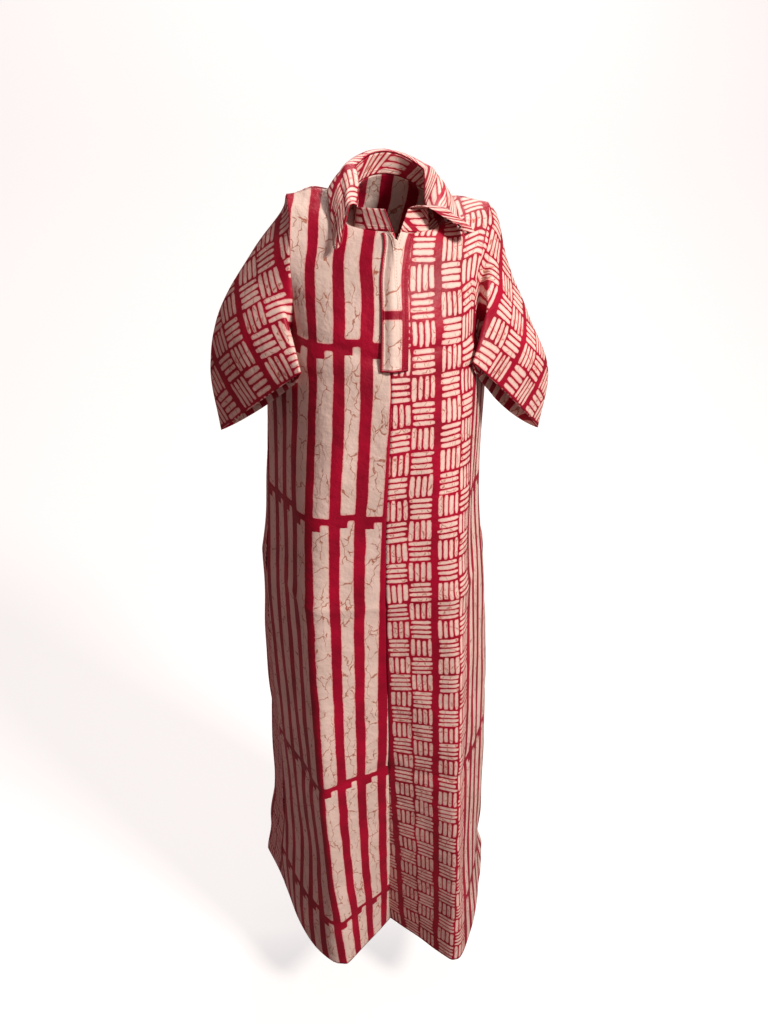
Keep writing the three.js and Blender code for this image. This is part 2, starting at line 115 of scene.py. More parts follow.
@dataclass(frozen=True)
class Table:
    """A short table with named columns, read smoothly between its rows."""

    columns: tuple[str, ...]
    rows: Array

    def at(self, keys: Array) -> dict[str, Array]:
        """Reads every column at each key of the first column.

        Args:
            keys: values of the first column, in any shape.

        Returns:
            The columns by name, each in the shape of the keys.
        """
        rows = self.rows
        keys = np.clip(keys, rows[0, 0], rows[-1, 0])
        k = np.clip(np.searchsorted(rows[:, 0], keys, side="left") - 1, 0, len(rows) - 2)
        secants = np.diff(rows, axis=0) / np.diff(rows[:, 0])[:, None]
        before, after = secants[:-1], secants[1:]
        same = before * after > 0
        inner = np.where(same, 2 * before * after / np.where(same, before + after, 1.0), 0.0)
        slopes = np.vstack([secants[:1], inner, secants[-1:]])
        span = rows[k + 1, 0] - rows[k, 0]
        t = (keys - rows[k, 0]) / span
        t2, t3 = t * t, t * t * t
        found = {}
        for c, name in enumerate(self.columns):
            found[name] = (
                rows[k, c] * (2 * t3 - 3 * t2 + 1)
                + slopes[k, c] * span * (t3 - 2 * t2 + t)
                + rows[k + 1, c] * (3 * t2 - 2 * t3)
                + slopes[k + 1, c] * span * (t3 - t2)
            )
        return found


def table(columns: str, rows: Sequence[Sequence[float]]) -> Table:
    """Makes a table from its column names and rows."""
    return Table(tuple(columns.split()), np.array(rows, float))


# How the garment hangs on the body, by height: its sideways shift, the further
# shift of the front, and the turn of a section.
POSE = table("z sway swing skew", [
    (HEM, 4, 5, -0.10), (-1280, -1.5, 6.5, -0.10), (-1180, 1.5, -2, -0.10),
    (-930, -0.5, -7.5, -0.05), (-760, -5, -6, -0.02), (-450, -12, -4, 0), (UNDERARM, -7, -3, 0),
    (-100, -7, 0, 0), (-50, 0, 0, 0), (0, 8, 0, 0), (60, 8, 0, 0),
])
# The shoulder seam is pushed up beside the collar, more on the right.
PEAK_X, PEAK_Y, PEAK_WIDE, PEAK_DEEP = 104.0, 12.0, 18.0, 26.0
PEAK_LOW, PEAK_HIGH, PEAK_RIGHT, PEAK_LEFT = -60.0, -5.0, 6.0, 1.5
# Near the hem the cloth between the front fold and the side seam kicks out.
KICK_HIGH, KICK_RIGHT, KICK_LEFT, KICK_BUNCH = -1130.0, 30.0, 14.0, 0.6
# One half of the front, from the centre edge to the pressed fold.
FRONT = table("level centre_x centre_y centre_z fold_x fold_y fold_z soft", [
    (HEM, 0, -56, HEM, 107, -158, HEM, 0.10),
    (-1290, 0, -66, -1290, 111, -150, -1290, 0.10),
    (-1180, 0, -78, -1180, 116, -147, -1180, 0.10),
    (-930, 0, -99, -930, 120, -141, -930, 0.12),
    (-760, 0, -112, -760, 120, -137, -760, 0.15),
    (-600, 0, -124, -600, 118, -134, -600, 0.20),
    (-450, 0, -136, -450, 115, -131, -450, 0.30),
    (-340, 0, -142, -340, 113, -128, -340, 0.45),
    (UNDERARM, 0, -143, UNDERARM, 110, -122, UNDERARM, 0.6),
    (-170, 0, -137, -170, 106, -112, -172, 0.8),
    (-105, 0, -120, -96, 101, -92, -110, 0.9),
    (-72, 0, -108, -56, 99, -75, -77, 0.9),
    (FRONT_NECK, 4, NECK_FRONT, -38, 98, -63, -56, 0.9),
    (-26, 49, -64, -39, 98, -31, -18, 0.9),
    (0, NECK_HALF, SEAM_Y, NECK_RISE, SHOULDER_MID, SEAM_Y, SHOULDER_MID_RISE, 0),
])
# One half of the back, from the spine to the back corner.
BACK = table("level spine_y spine_z corner_x corner_y corner_z soft bow", [
    (HEM, 152, HEM, 246, 141, HEM, 0.12, 0),
    (-1290, 149, -1290, 228, 135, -1290, 0.15, 0),
    (-1180, 146, -1180, 226, 130, -1180, 0.2, 0),
    (-930, 140, -930, 221, 123, -930, 0.3, 0),
    (-760, 137, -760, 215, 119, -760, 0.4, 0),
    (-600, 134, -600, 200, 115, -600, 0.5, 0),
    (-450, 131, -450, 181, 111, -450, 0.6, 0),
    (-340, 128, -340, 171, 106, -340, 0.7, 0),
    (UNDERARM, 123, UNDERARM, 158, 98, UNDERARM, 0.8, 0),
    (-170, 115, -168, 140, 90, -170, 0.9, 0),
    (-105, 104, -106, 122, 80, -106, 0.9, 0),
    (FRONT_NECK, 88, -50, 100, 62, -50, 0.9, 2),
    (-26, 66, -8, 82, 36, -14, 0.6, 6),
    (0, NECK_BACK, 24, NECK_HALF, SEAM_Y, NECK_RISE, 0, 11),
])
# The side seam, and above the underarm the two edges of the armhole.
SIDE_SEAM = table("level x y z", [
    (HEM, 212, 39, HEM), (-1180, 200, 34, -1180), (-930, 196, 30, -930), (-760, 193, 27, -760),
    (-600, 187, 24, -600), (-450, 172, 22, -450), (UNDERARM, 165, 18, UNDERARM),
])
FRONT_ARMHOLE = table("level x y z", [
    (UNDERARM, 165, 18, UNDERARM), (-200, 148, -40, -206), (-170, 130, -62, -176),
    (-105, 123, -68, -118), (FRONT_NECK, 129, -53, -62), (-26, 135, -26, -25),
    (0, SHOULDER_HALF, SEAM_Y, TIP_RISE),
])
BACK_ARMHOLE = table("level x y z", [
    (UNDERARM, 165, 18, UNDERARM), (-200, 155, 56, -206), (-170, 148, 68, -176),
    (-105, 140, 75, -118), (FRONT_NECK, 138, 60, -62), (-26, 138, 34, -24),
    (0, SHOULDER_HALF, SEAM_Y, TIP_RISE),
])
# The hanging sleeves beyond the armhole, outwards from the shoulder tip: the
# outer fold, the pressed front fold, the underarm seam, and how far the front
# and back layers bow out between them.
SLEEVE_COLUMNS = (
    "reach top_out top_y top_z fold_out fold_y fold_z under_out under_y under_z"
    " fore_out fore_y fore_z aft_out aft_y aft_z"
)
SLEEVES = {
    -1: table(SLEEVE_COLUMNS, [
        (0.25, 36, 5, -75, -8, -77, -144, 30, 0, -246, 4, -14, 0, 14, 66, -4),
        (0.5, 84, 5, -146, -15, -91, -170, 17, -36, -243, 8, -14, 2, 10, 62, -8),
        (0.75, 107, 5, -226, -19, -102, -190, 2, -70, -234, 8, -10, 0, 8, 56, -12),
        (1.0, 99, 5, -325, -22, -112, -209, -15, -98, -227, 3, -5, 0, 6, 56, -26),
    ]),
    1: table(SLEEVE_COLUMNS, [
        (0.25, 46, 5, -82, -1, -73, -135, 29, 0, -246, -14, -18, 22, 14, 66, -4),
        (0.5, 86, 5, -166, -10, -84, -160, 16, -34, -242, 4, -14, 4, 10, 62, -8),
        (0.75, 124, 5, -250, -16, -93, -186, 4, -68, -234, 8, -10, 0, 10, 60, -12),
        (1.0, 120, 5, -346, -22, -101, -207, -15, -90, -224, 3, -5, 0, 18, 74, -36),
    ]),
}
SLEEVE_REACHES = (0.25, 0.5, 0.75, 1.0)
# How the cloth leaves the armhole: at the shoulder tip, at the front, at the
# back and at the underarm.
SLEEVE_HEADS = {
    -1: ((4, 0, -15), (5, -2, -8), (10, 8, -8), (10, -4, -8)),
    1: ((13, 0, -15), (8, 12, -6), (10, 8, -8), (10, -4, -8)),
}
# Where the collar's free edge lies from the stand's top edge, round the neck.
FALL = table("place out_x out_y drop", [
    (0, -18, -28, 42), (0.05, -33, -50, 59), (0.12, -36, -24, 28), (0.28, -20, 14, 24),
    (0.5, 0, 32, 28), (0.72, 22, 14, 24), (0.88, 51, -8, 27), (1, 79, 15, 33),
])
# How far the upper placket strip's free edge reaches past the centre line.
PARTING = table("level edge", [
    (PLACKET_END, PLACKET_HALF), (-150, 14), (-105, 8), (-63, 0), (FRONT_NECK, -7),
])
# Places round the neckline where the fall starts and ends, of 20 equal steps.
FALL_START = 2 / 20


# ---------------------------------------------------------------- surfaces
def points(x: Array, y: Array, z: Array) -> Array:
    """Stacks coordinates to points, in one shape."""
    return np.stack(np.broadcast_arrays(x, y, z), axis=-1)


def unit(v: Array) -> Array:
    """Scales vectors to length 1."""
    return v / np.maximum(np.linalg.norm(v, axis=-1, keepdims=True), 1e-9)


def ramp(x: Array, low: float, high: float) -> Array:
    """A smooth step from 0 at low to 1 at high."""
    t = np.clip((x - low) / (high - low), 0, 1)
    return t * t * (3 - 2 * t)


def bend(a: Array, corner: Array, b: Array, at: Array, soft: Array) -> Array:
    """A point of the line a - corner - b, whose corner is rounded.

    Args:
        a: the start, at -1.
        corner: the corner, at 0.
        b: the end, at 1.
        at: the place on the line.
        soft: how much of the shorter side the rounding takes.

    Returns:
        The points.
    """
    before, after = corner - a, b - corner
    len_before = np.linalg.norm(before, axis=-1)
    len_after = np.linalg.norm(after, axis=-1)
    reach = np.maximum(soft * np.minimum(len_before, len_after), 1e-6)
    along = np.where(at < 0, at * len_before, at * len_after)
    near = np.clip(along, -reach, reach)
    back = (reach - near) ** 2 / (4 * reach)
    forth = (reach + near) ** 2 / (4 * reach)
    back = np.where(along < -reach, -along, back)
    forth = np.where(along < -reach, 0, forth)
    back = np.where(along > reach, 0, back)
    forth = np.where(along > reach, along, forth)
    return corner - unit(before) * back[..., None] + unit(after) * forth[..., None]


def settle(p: Array) -> Array:
    """Moves points of the symmetric garment to where they hang on the body.

    Args:
        p: points of the symmetric garment.

    Returns:
        The points, in the same shape.
    """
    pose = POSE.at(p[..., 2])
    lift = ramp(p[..., 2], UNDERARM, 0)
    x = p[..., 0] + pose["sway"] - pose["swing"] * p[..., 1] / REFERENCE_DEPTH
    y = p[..., 1] + pose["skew"] * p[..., 0]
    aside = (np.abs(p[..., 0]) - PEAK_X) / PEAK_WIDE
    peak = np.exp(-(aside**2) - ((p[..., 1] - PEAK_Y) / PEAK_DEEP) ** 2)
    peak = peak * ramp(p[..., 2], PEAK_LOW, PEAK_HIGH)
    peak = peak * np.where(p[..., 0] < 0, PEAK_RIGHT, PEAK_LEFT)
    return points(x, y, p[..., 2] - SHOULDER_LEAN * p[..., 0] * lift + peak)


def edge_line(side: float, level: Array, armhole: Table) -> Array:
    """The side seam, or above the underarm one edge of the armhole.

    Args:
        side: -1 for the wearer's right, 1 for the left.
        level: the height label of the row.
        armhole: the armhole edge to follow.

    Returns:
        The points, not yet settled.
    """
    low, high = SIDE_SEAM.at(level), armhole.at(level)
    upper = level > UNDERARM
    pick = {name: np.where(upper, high[name], low[name]) for name in ("x", "y", "z")}
    return points(side * pick["x"], pick["y"], pick["z"])


def front_surface(side: float, at: Array, level: Array) -> Array:
    """Points of one half of the front.

    Args:
        side: -1 for the wearer's right, 1 for the left.
        at: -1 at the centre edge, 0 at the fold, 1 at the side.
        level: the height label of the row.

    Returns:
        The points, settled on the body.
    """
    row = FRONT.at(level)
    centre, fold = (
        points(side * row[k + "_x"], row[k + "_y"], row[k + "_z"]) for k in ("centre", "fold")
    )
    p = bend(centre, fold, edge_line(side, level, FRONT_ARMHOLE), at, row["soft"])
    kick = (KICK_RIGHT if side < 0 else KICK_LEFT) * ramp(KICK_HIGH - level, 0, KICK_HIGH - HEM)
    spread = np.sin(np.pi * np.maximum(at, 0) ** KICK_BUNCH)
    return settle(p + points(side * kick * spread, 0, 0))


def back_surface(side: float, at: Array, level: Array) -> Array:
    """Points of one half of the back.

    Args:
        side: -1 for the wearer's right, 1 for the left.
        at: -1 on the spine, 0 at the back corner, 1 at the side.
        level: the height label of the row.

    Returns:
        The points, settled on the body.
    """
    row = BACK.at(level)
    spine = points(0 * level, row["spine_y"], row["spine_z"])
    corner = points(side * row["corner_x"], row["corner_y"], row["corner_z"])
    p = bend(spine, corner, edge_line(side, level, BACK_ARMHOLE), at, row["soft"])
    bow = row["bow"] * np.where(at < 0, np.sin(np.pi * (at + 1)), 0)
    return settle(p + points(0, bow, BACK_CROWN * bow))


def thread(knots: Array, t: Array) -> Array:
    """A centripetal curve through knots.

    Args:
        knots: (k, n, 3) points of n curves.
        t: (m,) places from 0 to 1.

    Returns:
        (m, n, 3) points.
    """
    knots = np.concatenate([2 * knots[:1] - knots[1:2], knots, 2 * knots[-1:] - knots[-2:-1]])
    spans = len(knots) - 3
    out = []
    for place in np.clip(t, 0, 1) * spans:
        k = min(int(place), spans - 1)
        w = place - k
        p0, p1, p2, p3 = knots[k : k + 4]
        d0, d1, d2 = (
            np.maximum(np.linalg.norm(b - a, axis=-1, keepdims=True) ** 0.5, 1e-4)
            for a, b in ((p0, p1), (p1, p2), (p2, p3))
        )
        m1 = ((p1 - p0) / d0 - (p2 - p0) / (d0 + d1) + (p2 - p1) / d1) * d1
        m2 = ((p2 - p1) / d1 - (p3 - p1) / (d1 + d2) + (p3 - p2) / d2) * d1
        c2 = -3 * p1 + 3 * p2 - 2 * m1 - m2
        c3 = 2 * p1 - 2 * p2 + m1 + m2
        out.append(p1 + m1 * w + c2 * w * w + c3 * w**3)
    return np.array(out)


def sleeve_section(side: float, reach: float, place: Array, fore: Array) -> Array:
    """Points of the sleeve's section.

    Args:
        side: -1 for the wearer's right, 1 for the left.
        reach: how far down the sleeve.
        place: 0 at the outer fold, 1 at the underarm seam.
        fore: true on the front layer.

    Returns:
        The points.
    """
    row = SLEEVES[side].at(np.full(place.shape, reach))
    top, fold, under, fore_bow, aft_bow = (
        points(row[k + "_out"], row[k + "_y"], row[k + "_z"])
        for k in ("top", "fold", "under", "fore", "aft")
    )
    at = np.where(place < SLEEVE_FOLD, place / SLEEVE_FOLD - 1,
                  (place - SLEEVE_FOLD) / (1 - SLEEVE_FOLD))
    ahead = bend(top, fold, under, at, np.full(place.shape, FOLD_SOFT))
    bow = np.sin(np.pi * np.minimum(place / SLEEVE_FOLD, 1)) ** BOW_POWER
    ahead = ahead + fore_bow * bow[..., None]
    bow = np.sin(np.pi * place) ** BOW_POWER
    behind = top + (under - top) * place[..., None] + aft_bow * bow[..., None]
    p = np.where(fore[..., None], ahead, behind)
    p[..., 0] = side * (SHOULDER_HALF + p[..., 0])
    return settle(p)


def sleeve_surface(side: float, turn: Array, t: Array) -> Array:
    """A sleeve's grid: rows down the sleeve, columns round it.

    Args:
        side: -1 for the wearer's right, 1 for the left.
        turn: (n,) -1 at the underarm, up the front to 0 at the shoulder tip,
            down the back to 1.
        t: (m,) places from the armhole to the cuff.

    Returns:
        (m, n, 3) points.
    """
    fore = turn <= 0
    place = np.abs(turn)
    level = UNDERARM * place
    one = np.ones_like(turn)
    start = np.where(
        fore[..., None], front_surface(side, one, level), back_surface(side, one, level)
    )
    tip, front, rear, under = (np.array(head, float) for head in SLEEVE_HEADS[side])
    middle = np.where(fore[..., None], front, rear)
    ends = np.where((place < 0.5)[..., None], tip, under)
    share = np.sin(np.pi * place)[..., None]
    head = (middle * share + ends * (1 - share)) * (side, 1, 1)
    knots = [start, start + head]
    knots += [sleeve_section(side, reach, place, fore) for reach in SLEEVE_REACHES]
    return thread(np.array(knots), t)


def neckline(place: Array) -> Array:
    """Points of the neckline.

    Args:
        place: 0 at the right front edge, round the back of the neck, to 1 at
            the left front edge.

    Returns:
        The points.
    """
    quarter = 0.2  # each front quarter takes a fifth of the way
    inside = place * 0 - 1
    right = front_surface(-1, inside, FRONT_NECK * (1 - np.clip(place / quarter, 0, 1)))
    left = front_surface(1, inside, FRONT_NECK * (1 - np.clip((1 - place) / quarter, 0, 1)))
    turn = np.clip((place - 0.5) / (0.5 - quarter), -1, 1)
    zero = 0 * place
    back_right = back_surface(-1, np.minimum(-turn - 1, 0), zero)
    back_left = back_surface(1, np.minimum(turn - 1, 0), zero)
    back = np.where((turn < 0)[..., None], back_right, back_left)
    out = np.where((place < quarter)[..., None], right, back)
    return np.where((place > 1 - quarter)[..., None], left, out)


def neck_centre() -> Array:
    """The middle of the neck hole."""
    return settle(np.array([0.0, (NECK_FRONT + NECK_BACK) / 2, 0.0]))


def stand_surface(place: Array, rise: Array) -> Array:
    """Points of the collar stand.

    Args:
        place: 0 at its right front end, 1 at its left.
        rise: 0 at its foot, 1 at its top.

    Returns:
        The points.
    """
    foot = neckline(place)
    inward = neck_centre() - foot
    inward[..., 2] = 0
    splay = ramp(np.abs(place - 0.5), SPLAY_FROM, 0.5) * np.sign(place - 0.5) * STAND_SPLAY
    lift = points(splay, 0, STAND) * rise[..., None]
    return foot + unit(inward) * (STAND_LEAN_IN * rise)[..., None] + lift


def fall_surface(place: Array, t: Array) -> Array:
    """Points of the collar's fall.

    Args:
        place: 0 at its right front point, 1 at its left.
        t: 0 on the stand's top, 1 at the free edge.

    Returns:
        The points.
    """
    top = stand_surface(FALL_START + (1 - FALL_START) * place, np.ones_like(place))
    row = FALL.at(place)
    outward = top - neck_centre()
    outward[..., 2] = 0
    # It rolls over in the first half and stands off in the first third.
    roll = COLLAR_ROLL * np.sin(np.pi * np.minimum(t * 2, 1))
    rise = WALL / 2 + 2 * SEAM_GAP + roll - row["drop"] * t * t
    spread = COLLAR_SPREAD * np.sin(np.pi / 2 * np.minimum(t * 3, 1))
    drop = points(row["out_x"] * t, row["out_y"] * t, rise)
    return top + unit(outward) * spread[..., None] + drop


def beside_centre(distance: Array, level: Array) -> Array:
    """Points of the front beside its centre line.

    Args:
        distance: how far from the centre line, positive on the wearer's left.
        level: the height label of the row.

    Returns:
        The points, settled on the body.
    """
    row = FRONT.at(level)
    width = np.sqrt(sum((row["fold_" + k] - row["centre_" + k]) ** 2 for k in "xyz"))
    at = np.abs(distance) / width - 1
    left = (distance > 0)[..., None]
    return np.where(left, front_surface(1, at, level), front_surface(-1, at, level))


# ---------------------------------------------------------------- creases
@dataclass(frozen=True)
class Crease:
    """A pressed fold across the cloth, which falls away as a tent does.

    The line runs from (u0, v0) to (u1, v1) in cloth millimetres and sags by
    bow at its middle. A positive height stands proud, a negative one dips.
    """

    u0: float
    v0: float
    u1: float
    v1: float
    height: float
    width: float
    bow: float = 0.0

    def relief(self, u: Array, v: Array) -> Array:
        """How far the crease lifts the cloth.

        Args:
            u: places along the weft, in cloth millimetres.
            v: places along the warp.

        Returns:
            The lift at each place, in mm.
        """
        du, dv = self.u1 - self.u0, self.v1 - self.v0
        length = math.hypot(du, dv)
        along = ((u - self.u0) * du + (v - self.v0) * dv) / length
        across = ((v - self.v0) * du - (u - self.u0) * dv) / length
        part = np.clip(along / length, 0, 1)
        across = across - self.bow * 4 * part * (1 - part)
        overrun = np.maximum(np.maximum(-along, along - length), 0)
        ends = np.exp(-((overrun / (2.0 * self.width)) ** 2))
        return self.height * ends * np.exp(-np.abs(across) / self.width)


def ripple(u: Array, v: Array, seed: int, height: float, waves: int = 9) -> Array:
    """A slow, uneven unrest of the cloth, the same on every run.

    Args:
        u: places along the weft, in cloth millimetres.
        v: places along the warp.
        seed: picks the waves.
        height: about how high the sum of the waves stands, in mm.
        waves: how many crossed waves are added.

    Returns:
        The lift at each place, in mm.
    """
    rng = np.random.default_rng(seed)
    out = np.zeros_like(u)
    for _ in range(waves):
        wave_u = rng.uniform(70, 190)
        wave_v = rng.uniform(160, 520)
        phase_u, phase_v = rng.uniform(0, 2 * np.pi, 2)
        lean = rng.uniform(-0.35, 0.35)
        out += np.sin(2 * np.pi * (u + lean * v) / wave_u + phase_u) * np.sin(
            2 * np.pi * v / wave_v + phase_v
        )
    return out * height / math.sqrt(waves)


# ---------------------------------------------------------------- nodes
def linear(code: str) -> tuple[float, float, float, float]:
    """Turns an sRGB hex colour such as "#B4143C" to linear RGBA."""
    channels = [int(code[k : k + 2], 16) / 255 for k in (1, 3, 5)]
    return (*[c / 12.92 if c <= 0.04045 else ((c + 0.055) / 1.055) ** 2.4 for c in channels], 1.0)


@dataclass
class Weaver:
    """Builds one material's node tree."""

    material: bpy.types.Material

    def add(self, kind: str, *feeds: object, out: int | str = 0, **settings: object) -> object:
        """Adds a node with its settings and links.

        Args:
            kind: the node's type, without its ShaderNode prefix, and after a
                space the operation of a maths node.
            feeds: what each input gets, in order, a socket or a value; a dict
                gives inputs by name or number.
            out: the output that is returned.
            settings: properties of the node.

        Returns:
            The chosen output socket, or the node itself where it has none.
        """
        kind, _, operation = kind.partition(" ")
        made = self.material.node_tree.nodes.new("ShaderNode" + kind)
        if operation:
            made.operation = operation
        for name, value in settings.items():
            setattr(made, name, value)
        named: dict[int | str, object] = {}
        for k, feed in enumerate(feeds):
            named.update(feed if isinstance(feed, dict) else {k: feed})
        for name, feed in named.items():
            if isinstance(feed, bpy.types.NodeSocket):
                self.material.node_tree.links.new(feed, made.inputs[name])
            else:
                made.inputs[name].default_value = feed
        return made.outputs[out] if len(made.outputs) else made


def put(name: str, data: bpy.types.ID) -> bpy.types.Object:
    """Makes an object and puts it in the scene.

    Args:
        name: the object's name.
        data: its mesh, light or camera.

    Returns:
        The object.
    """
    obj = bpy.data.objects.new(name, data)
    bpy.context.scene.collection.objects.link(obj)
    return obj


class Print(Enum):
    """Which wax-resist print a stretch of cloth carries."""

    STRIPES = "stripes"
    BASKET = "basket"
    CREAM = "cream"


@dataclass(frozen=True)
class Dye:
    """The dye bath's colours: crimson ground, cream resist, crackled wax."""

    ground: str = "#AC0530"
    ground_deep: str = "#8C0426"
    resist: str = "#E9D5CB"
    resist_grey: str = "#DBC9BE"
    rim: str = "#EBA3A0"
    crackle: str = "#A2512E"
    inside: str = "#7E2A38"


@dataclass(frozen=True)
class StripePrint:
    """Long cream bars stamped side by side, in rows with a break between.

    Sizes are in mm: the bars' period, half their width and its spread, the
    first bar's middle, half a break, the narrow tongue that reaches into it,
    how far the breaks step from bar to bar, and the corners' rounding.
    """

    period: float = 38.2
    half_bar: float = 11.2
    spread: float = 1.2
    first_bar: float = 22.5
    gap: float = 4.6
    finger: float = 16.0
    stagger: float = 9.0
    corner: float = 5.0


@dataclass(frozen=True)
class BasketPrint:
    """Groups of four short bars, upright and level by turns.

    Sizes are in mm: the square cell of a group, half a bar's width and length,
    where its ends begin to taper and by how much, and the plain band beside
    each pair of columns. The spreads are the stamp's chance, bar by bar.
    """

    cell: float = 35.5
    bars: int = 4
    half_bar: float = 3.3
    half_length: float = 16.8
    taper_from: float = 10.5
    taper: float = 1.1
    band: float = 8.0
    rim: float = 0.6
    bar_spread: tuple[float, float] = (-0.55, 0.35)
    length_spread: tuple[float, float] = (-2.2, 0.4)
    slip: float = 1.0
    corner: float = 1.6


@dataclass(frozen=True)
class StripBar:
    """The one broad cream bar that fills a placket strip, in mm."""

    half_bar: float = 12.2
    foot: float = 2.5
    foot_corner: float = 3.0


@dataclass(frozen=True)
class Polish:
    """How the dye lies and the beaten cloth shines, with sizes in mm.

    The resist's edge blurs over twice the blur; its rim pales from the edge
    inward; the reverse is dulled. Threads lie 0.4 mm apart in the cloth and
    are drawn wider, so that the weave still shows.
    """

    blur: float = 0.45
    rim: tuple[float, float] = (0.2, 2.4)
    rim_strength: float = 0.8
    reverse: float = 0.3
    blotch: float = 60.0
    arcs: float = 3.1
    ground_gloss: tuple[float, float] = (0.40, 0.56)
    wax_gloss: float = 0.55
    threads: float = 1.1
    thread_height: float = 0.03
    crumple: float = 30.0
    crumple_height: float = 3.2
    bump: float = 0.75


@dataclass(frozen=True)
class Crackle:
    """Lines of dye in cracked wax: cell size, line from and to, patches, strength."""

    cell: float
    line: tuple[float, float]
    patches: tuple[float, float]
    strength: float


CRACKLES = (
    Crackle(19, (0.012, 0.036), (0.36, 0.46), 0.8),
    Crackle(12, (0.02, 0.06), (0.60, 0.66), 0.9),
)


@dataclass(frozen=True)
class WaxPrintCloth:
    """Starched cotton damask, resist-printed in wax and beaten to a polish.

    The polish gives a broad soft gloss, the wax leaves crackled cream bars
    with pink rims, and the damask weave shows as fine arcs in the ground.
    Left of the boundary the cloth carries one print, right of it the other.
    """

    name: str
    left_of: Print = Print.STRIPES
    right_of: Print = Print.STRIPES
    boundary: float = 0.0
    breaks: tuple[float, ...] = (-172.0, -419.0, -935.0, -1275.0)
    hem_stitch: float = 0.0
    dye: Dye = field(default_factory=Dye)
    stripes: StripePrint = field(default_factory=StripePrint)
    basket: BasketPrint = field(default_factory=BasketPrint)
    strip: StripBar = field(default_factory=StripBar)
    polish: Polish = field(default_factory=Polish)

    def make(self) -> bpy.types.Material:
        """Builds the material.

        Returns:
            The finished node material.
        """
        material = bpy.data.materials.new(self.name)
        material.use_nodes = True
        material.node_tree.nodes.clear()
        add = Weaver(material).add
        cloth = self._millimetres(add, "cloth")
        u = add("SeparateXYZ", cloth)
        v = u.node.outputs[1]
        unrest = add("SeparateXYZ", add("VectorMath ADD", self._wander(add, cloth, 46, 1.0, 3.2),
                                        self._wander(add, cloth, 5.5, 2.0, 1.3)))
        hand_u = add("Math ADD", u, unrest)
        hand_v = add("Math ADD", v, unrest.node.outputs[1])
        kinds = {self.left_of, self.right_of}
        fields: dict[Print, object] = {}
        if Print.STRIPES in kinds:
            fields[Print.STRIPES] = self._stripe_field(add, hand_u, hand_v)
        if Print.BASKET in kinds:
            fields[Print.BASKET] = self._basket_field(add, hand_u, hand_v)
        if Print.CREAM in kinds:
            fields[Print.CREAM] = self._cream_field(add, u, v)
        depth = fields[self.left_of]
        if self.right_of is not self.left_of:
            over = add("Math GREATER_THAN", u, self.boundary)
            depth = add("Mix", {"Factor": over, "A": depth, "B": fields[self.right_of]},
                        data_type="FLOAT")
        blur = self.polish.blur
        resist = add("MapRange", depth, -blur, blur, 0.0, 1.0, interpolation_type="SMOOTHSTEP")
        relief = self._relief(add, cloth, u, v)
        shader = add("BsdfPrincipled", {
            "Base Color": self._colour(add, cloth, depth, resist),
            "Roughness": self._gloss(add, cloth, resist),
            "Normal": add("Bump", {"Strength": self.polish.bump, "Distance": MM,
                                   "Height": relief}, out="Normal"),
            "IOR": 1.5, "Specular IOR Level": 0.28, "Sheen Weight": 0.03, "Sheen Roughness": 0.4,
        })
        add("OutputMaterial", {"Surface": shader})
        return material

    def _millimetres(self, add: Adder, layer: str) -> object:
        """A UV layer's places in millimetres."""
        return add("VectorMath MULTIPLY", add("UVMap", uv_map=layer), (1000.0, 1000.0, 0.0))

    def _wander(self, add: Adder, cloth: object, size: float, detail: float,
                reach: float) -> object:
        """A slow random shift over the cloth, at most half the reach each way, in mm.

        Args:
            add: the node helper.
            cloth: the place in the cloth, in mm.
            size: how wide its hills are, in mm.
            detail: how many finer ones lie on them.
            reach: the whole range of the shift, in mm.

        Returns:
            The shift, a vector.
        """
        noise = add("TexNoise", {"Vector": cloth, "Scale": 1 / size, "Detail": detail}, out="Color",
                    noise_dimensions="2D")
        centred = add("VectorMath SUBTRACT", noise, (0.5, 0.5, 0.5))
        return add("VectorMath SCALE", centred, {"Scale": reach})

    def _clear_of(self, add: Adder, below: object) -> object:
        """Distance from a break between bars, negative inside it, in mm.

        Args:
            add: the node helper.
            below: how far the place lies from the middle of the break.

        Returns:
            The distance.
        """
        near = add("Math ABSOLUTE", below)
        return add("Math SUBTRACT", near, self.stripes.gap)

    def _stripe_field(self, add: Adder, u: object, v: object) -> object:
        """Depth inside the long cream bars.

        Args:
            add: the node helper.
            u: the place along the weft, in mm.
            v: the place along the warp, in mm.

        Returns:
            The depth in mm, negative on the ground.
        """
        s = self.stripes
        turns = add("Math DIVIDE", add("Math ADD", u, s.period / 2 - s.first_bar), s.period)
        bar = add("Math FLOOR", turns)
        local = add("Math SUBTRACT", add("Math SUBTRACT", turns, bar), 0.5)
        across = add("Math MULTIPLY", local, s.period)
        chance = add("TexWhiteNoise", {"W": bar}, out="Value", noise_dimensions="1D")
        half = add("MapRange", chance, 0.0, 1.0, s.half_bar - s.spread, s.half_bar + s.spread)
        offset = add("MapRange", chance, 0.0, 1.0, -s.stagger / 2, s.stagger / 2)
        full = add("Math SUBTRACT", half, add("Math ABSOLUTE", across))
        quarter = add("Math MULTIPLY", half, 0.5)
        aside = add("Math ABSOLUTE", add("Math ADD", across, quarter))
        finger = add("Math SUBTRACT", quarter, aside)
        tongues: list[object] = []
        clears: list[object] = []
        for level in self.breaks:
            below = add("Math ADD", add("Math ADD", v, -level), offset)
            clears.append(self._clear_of(add, below))
            tongues.append(add("Math COMPARE", below, -s.finger / 2, s.finger / 2))
        clear, in_finger = clears[0], tongues[0]
        for next_clear, next_tongue in zip(clears[1:], tongues[1:]):
            clear = add("Math MINIMUM", clear, next_clear)
            in_finger = add("Math MAXIMUM", in_finger, next_tongue)
        body = add("Mix", {"Factor": in_finger, "A": full, "B": finger}, data_type="FLOAT")
        return add("Math SMOOTH_MIN", body, clear, s.corner)

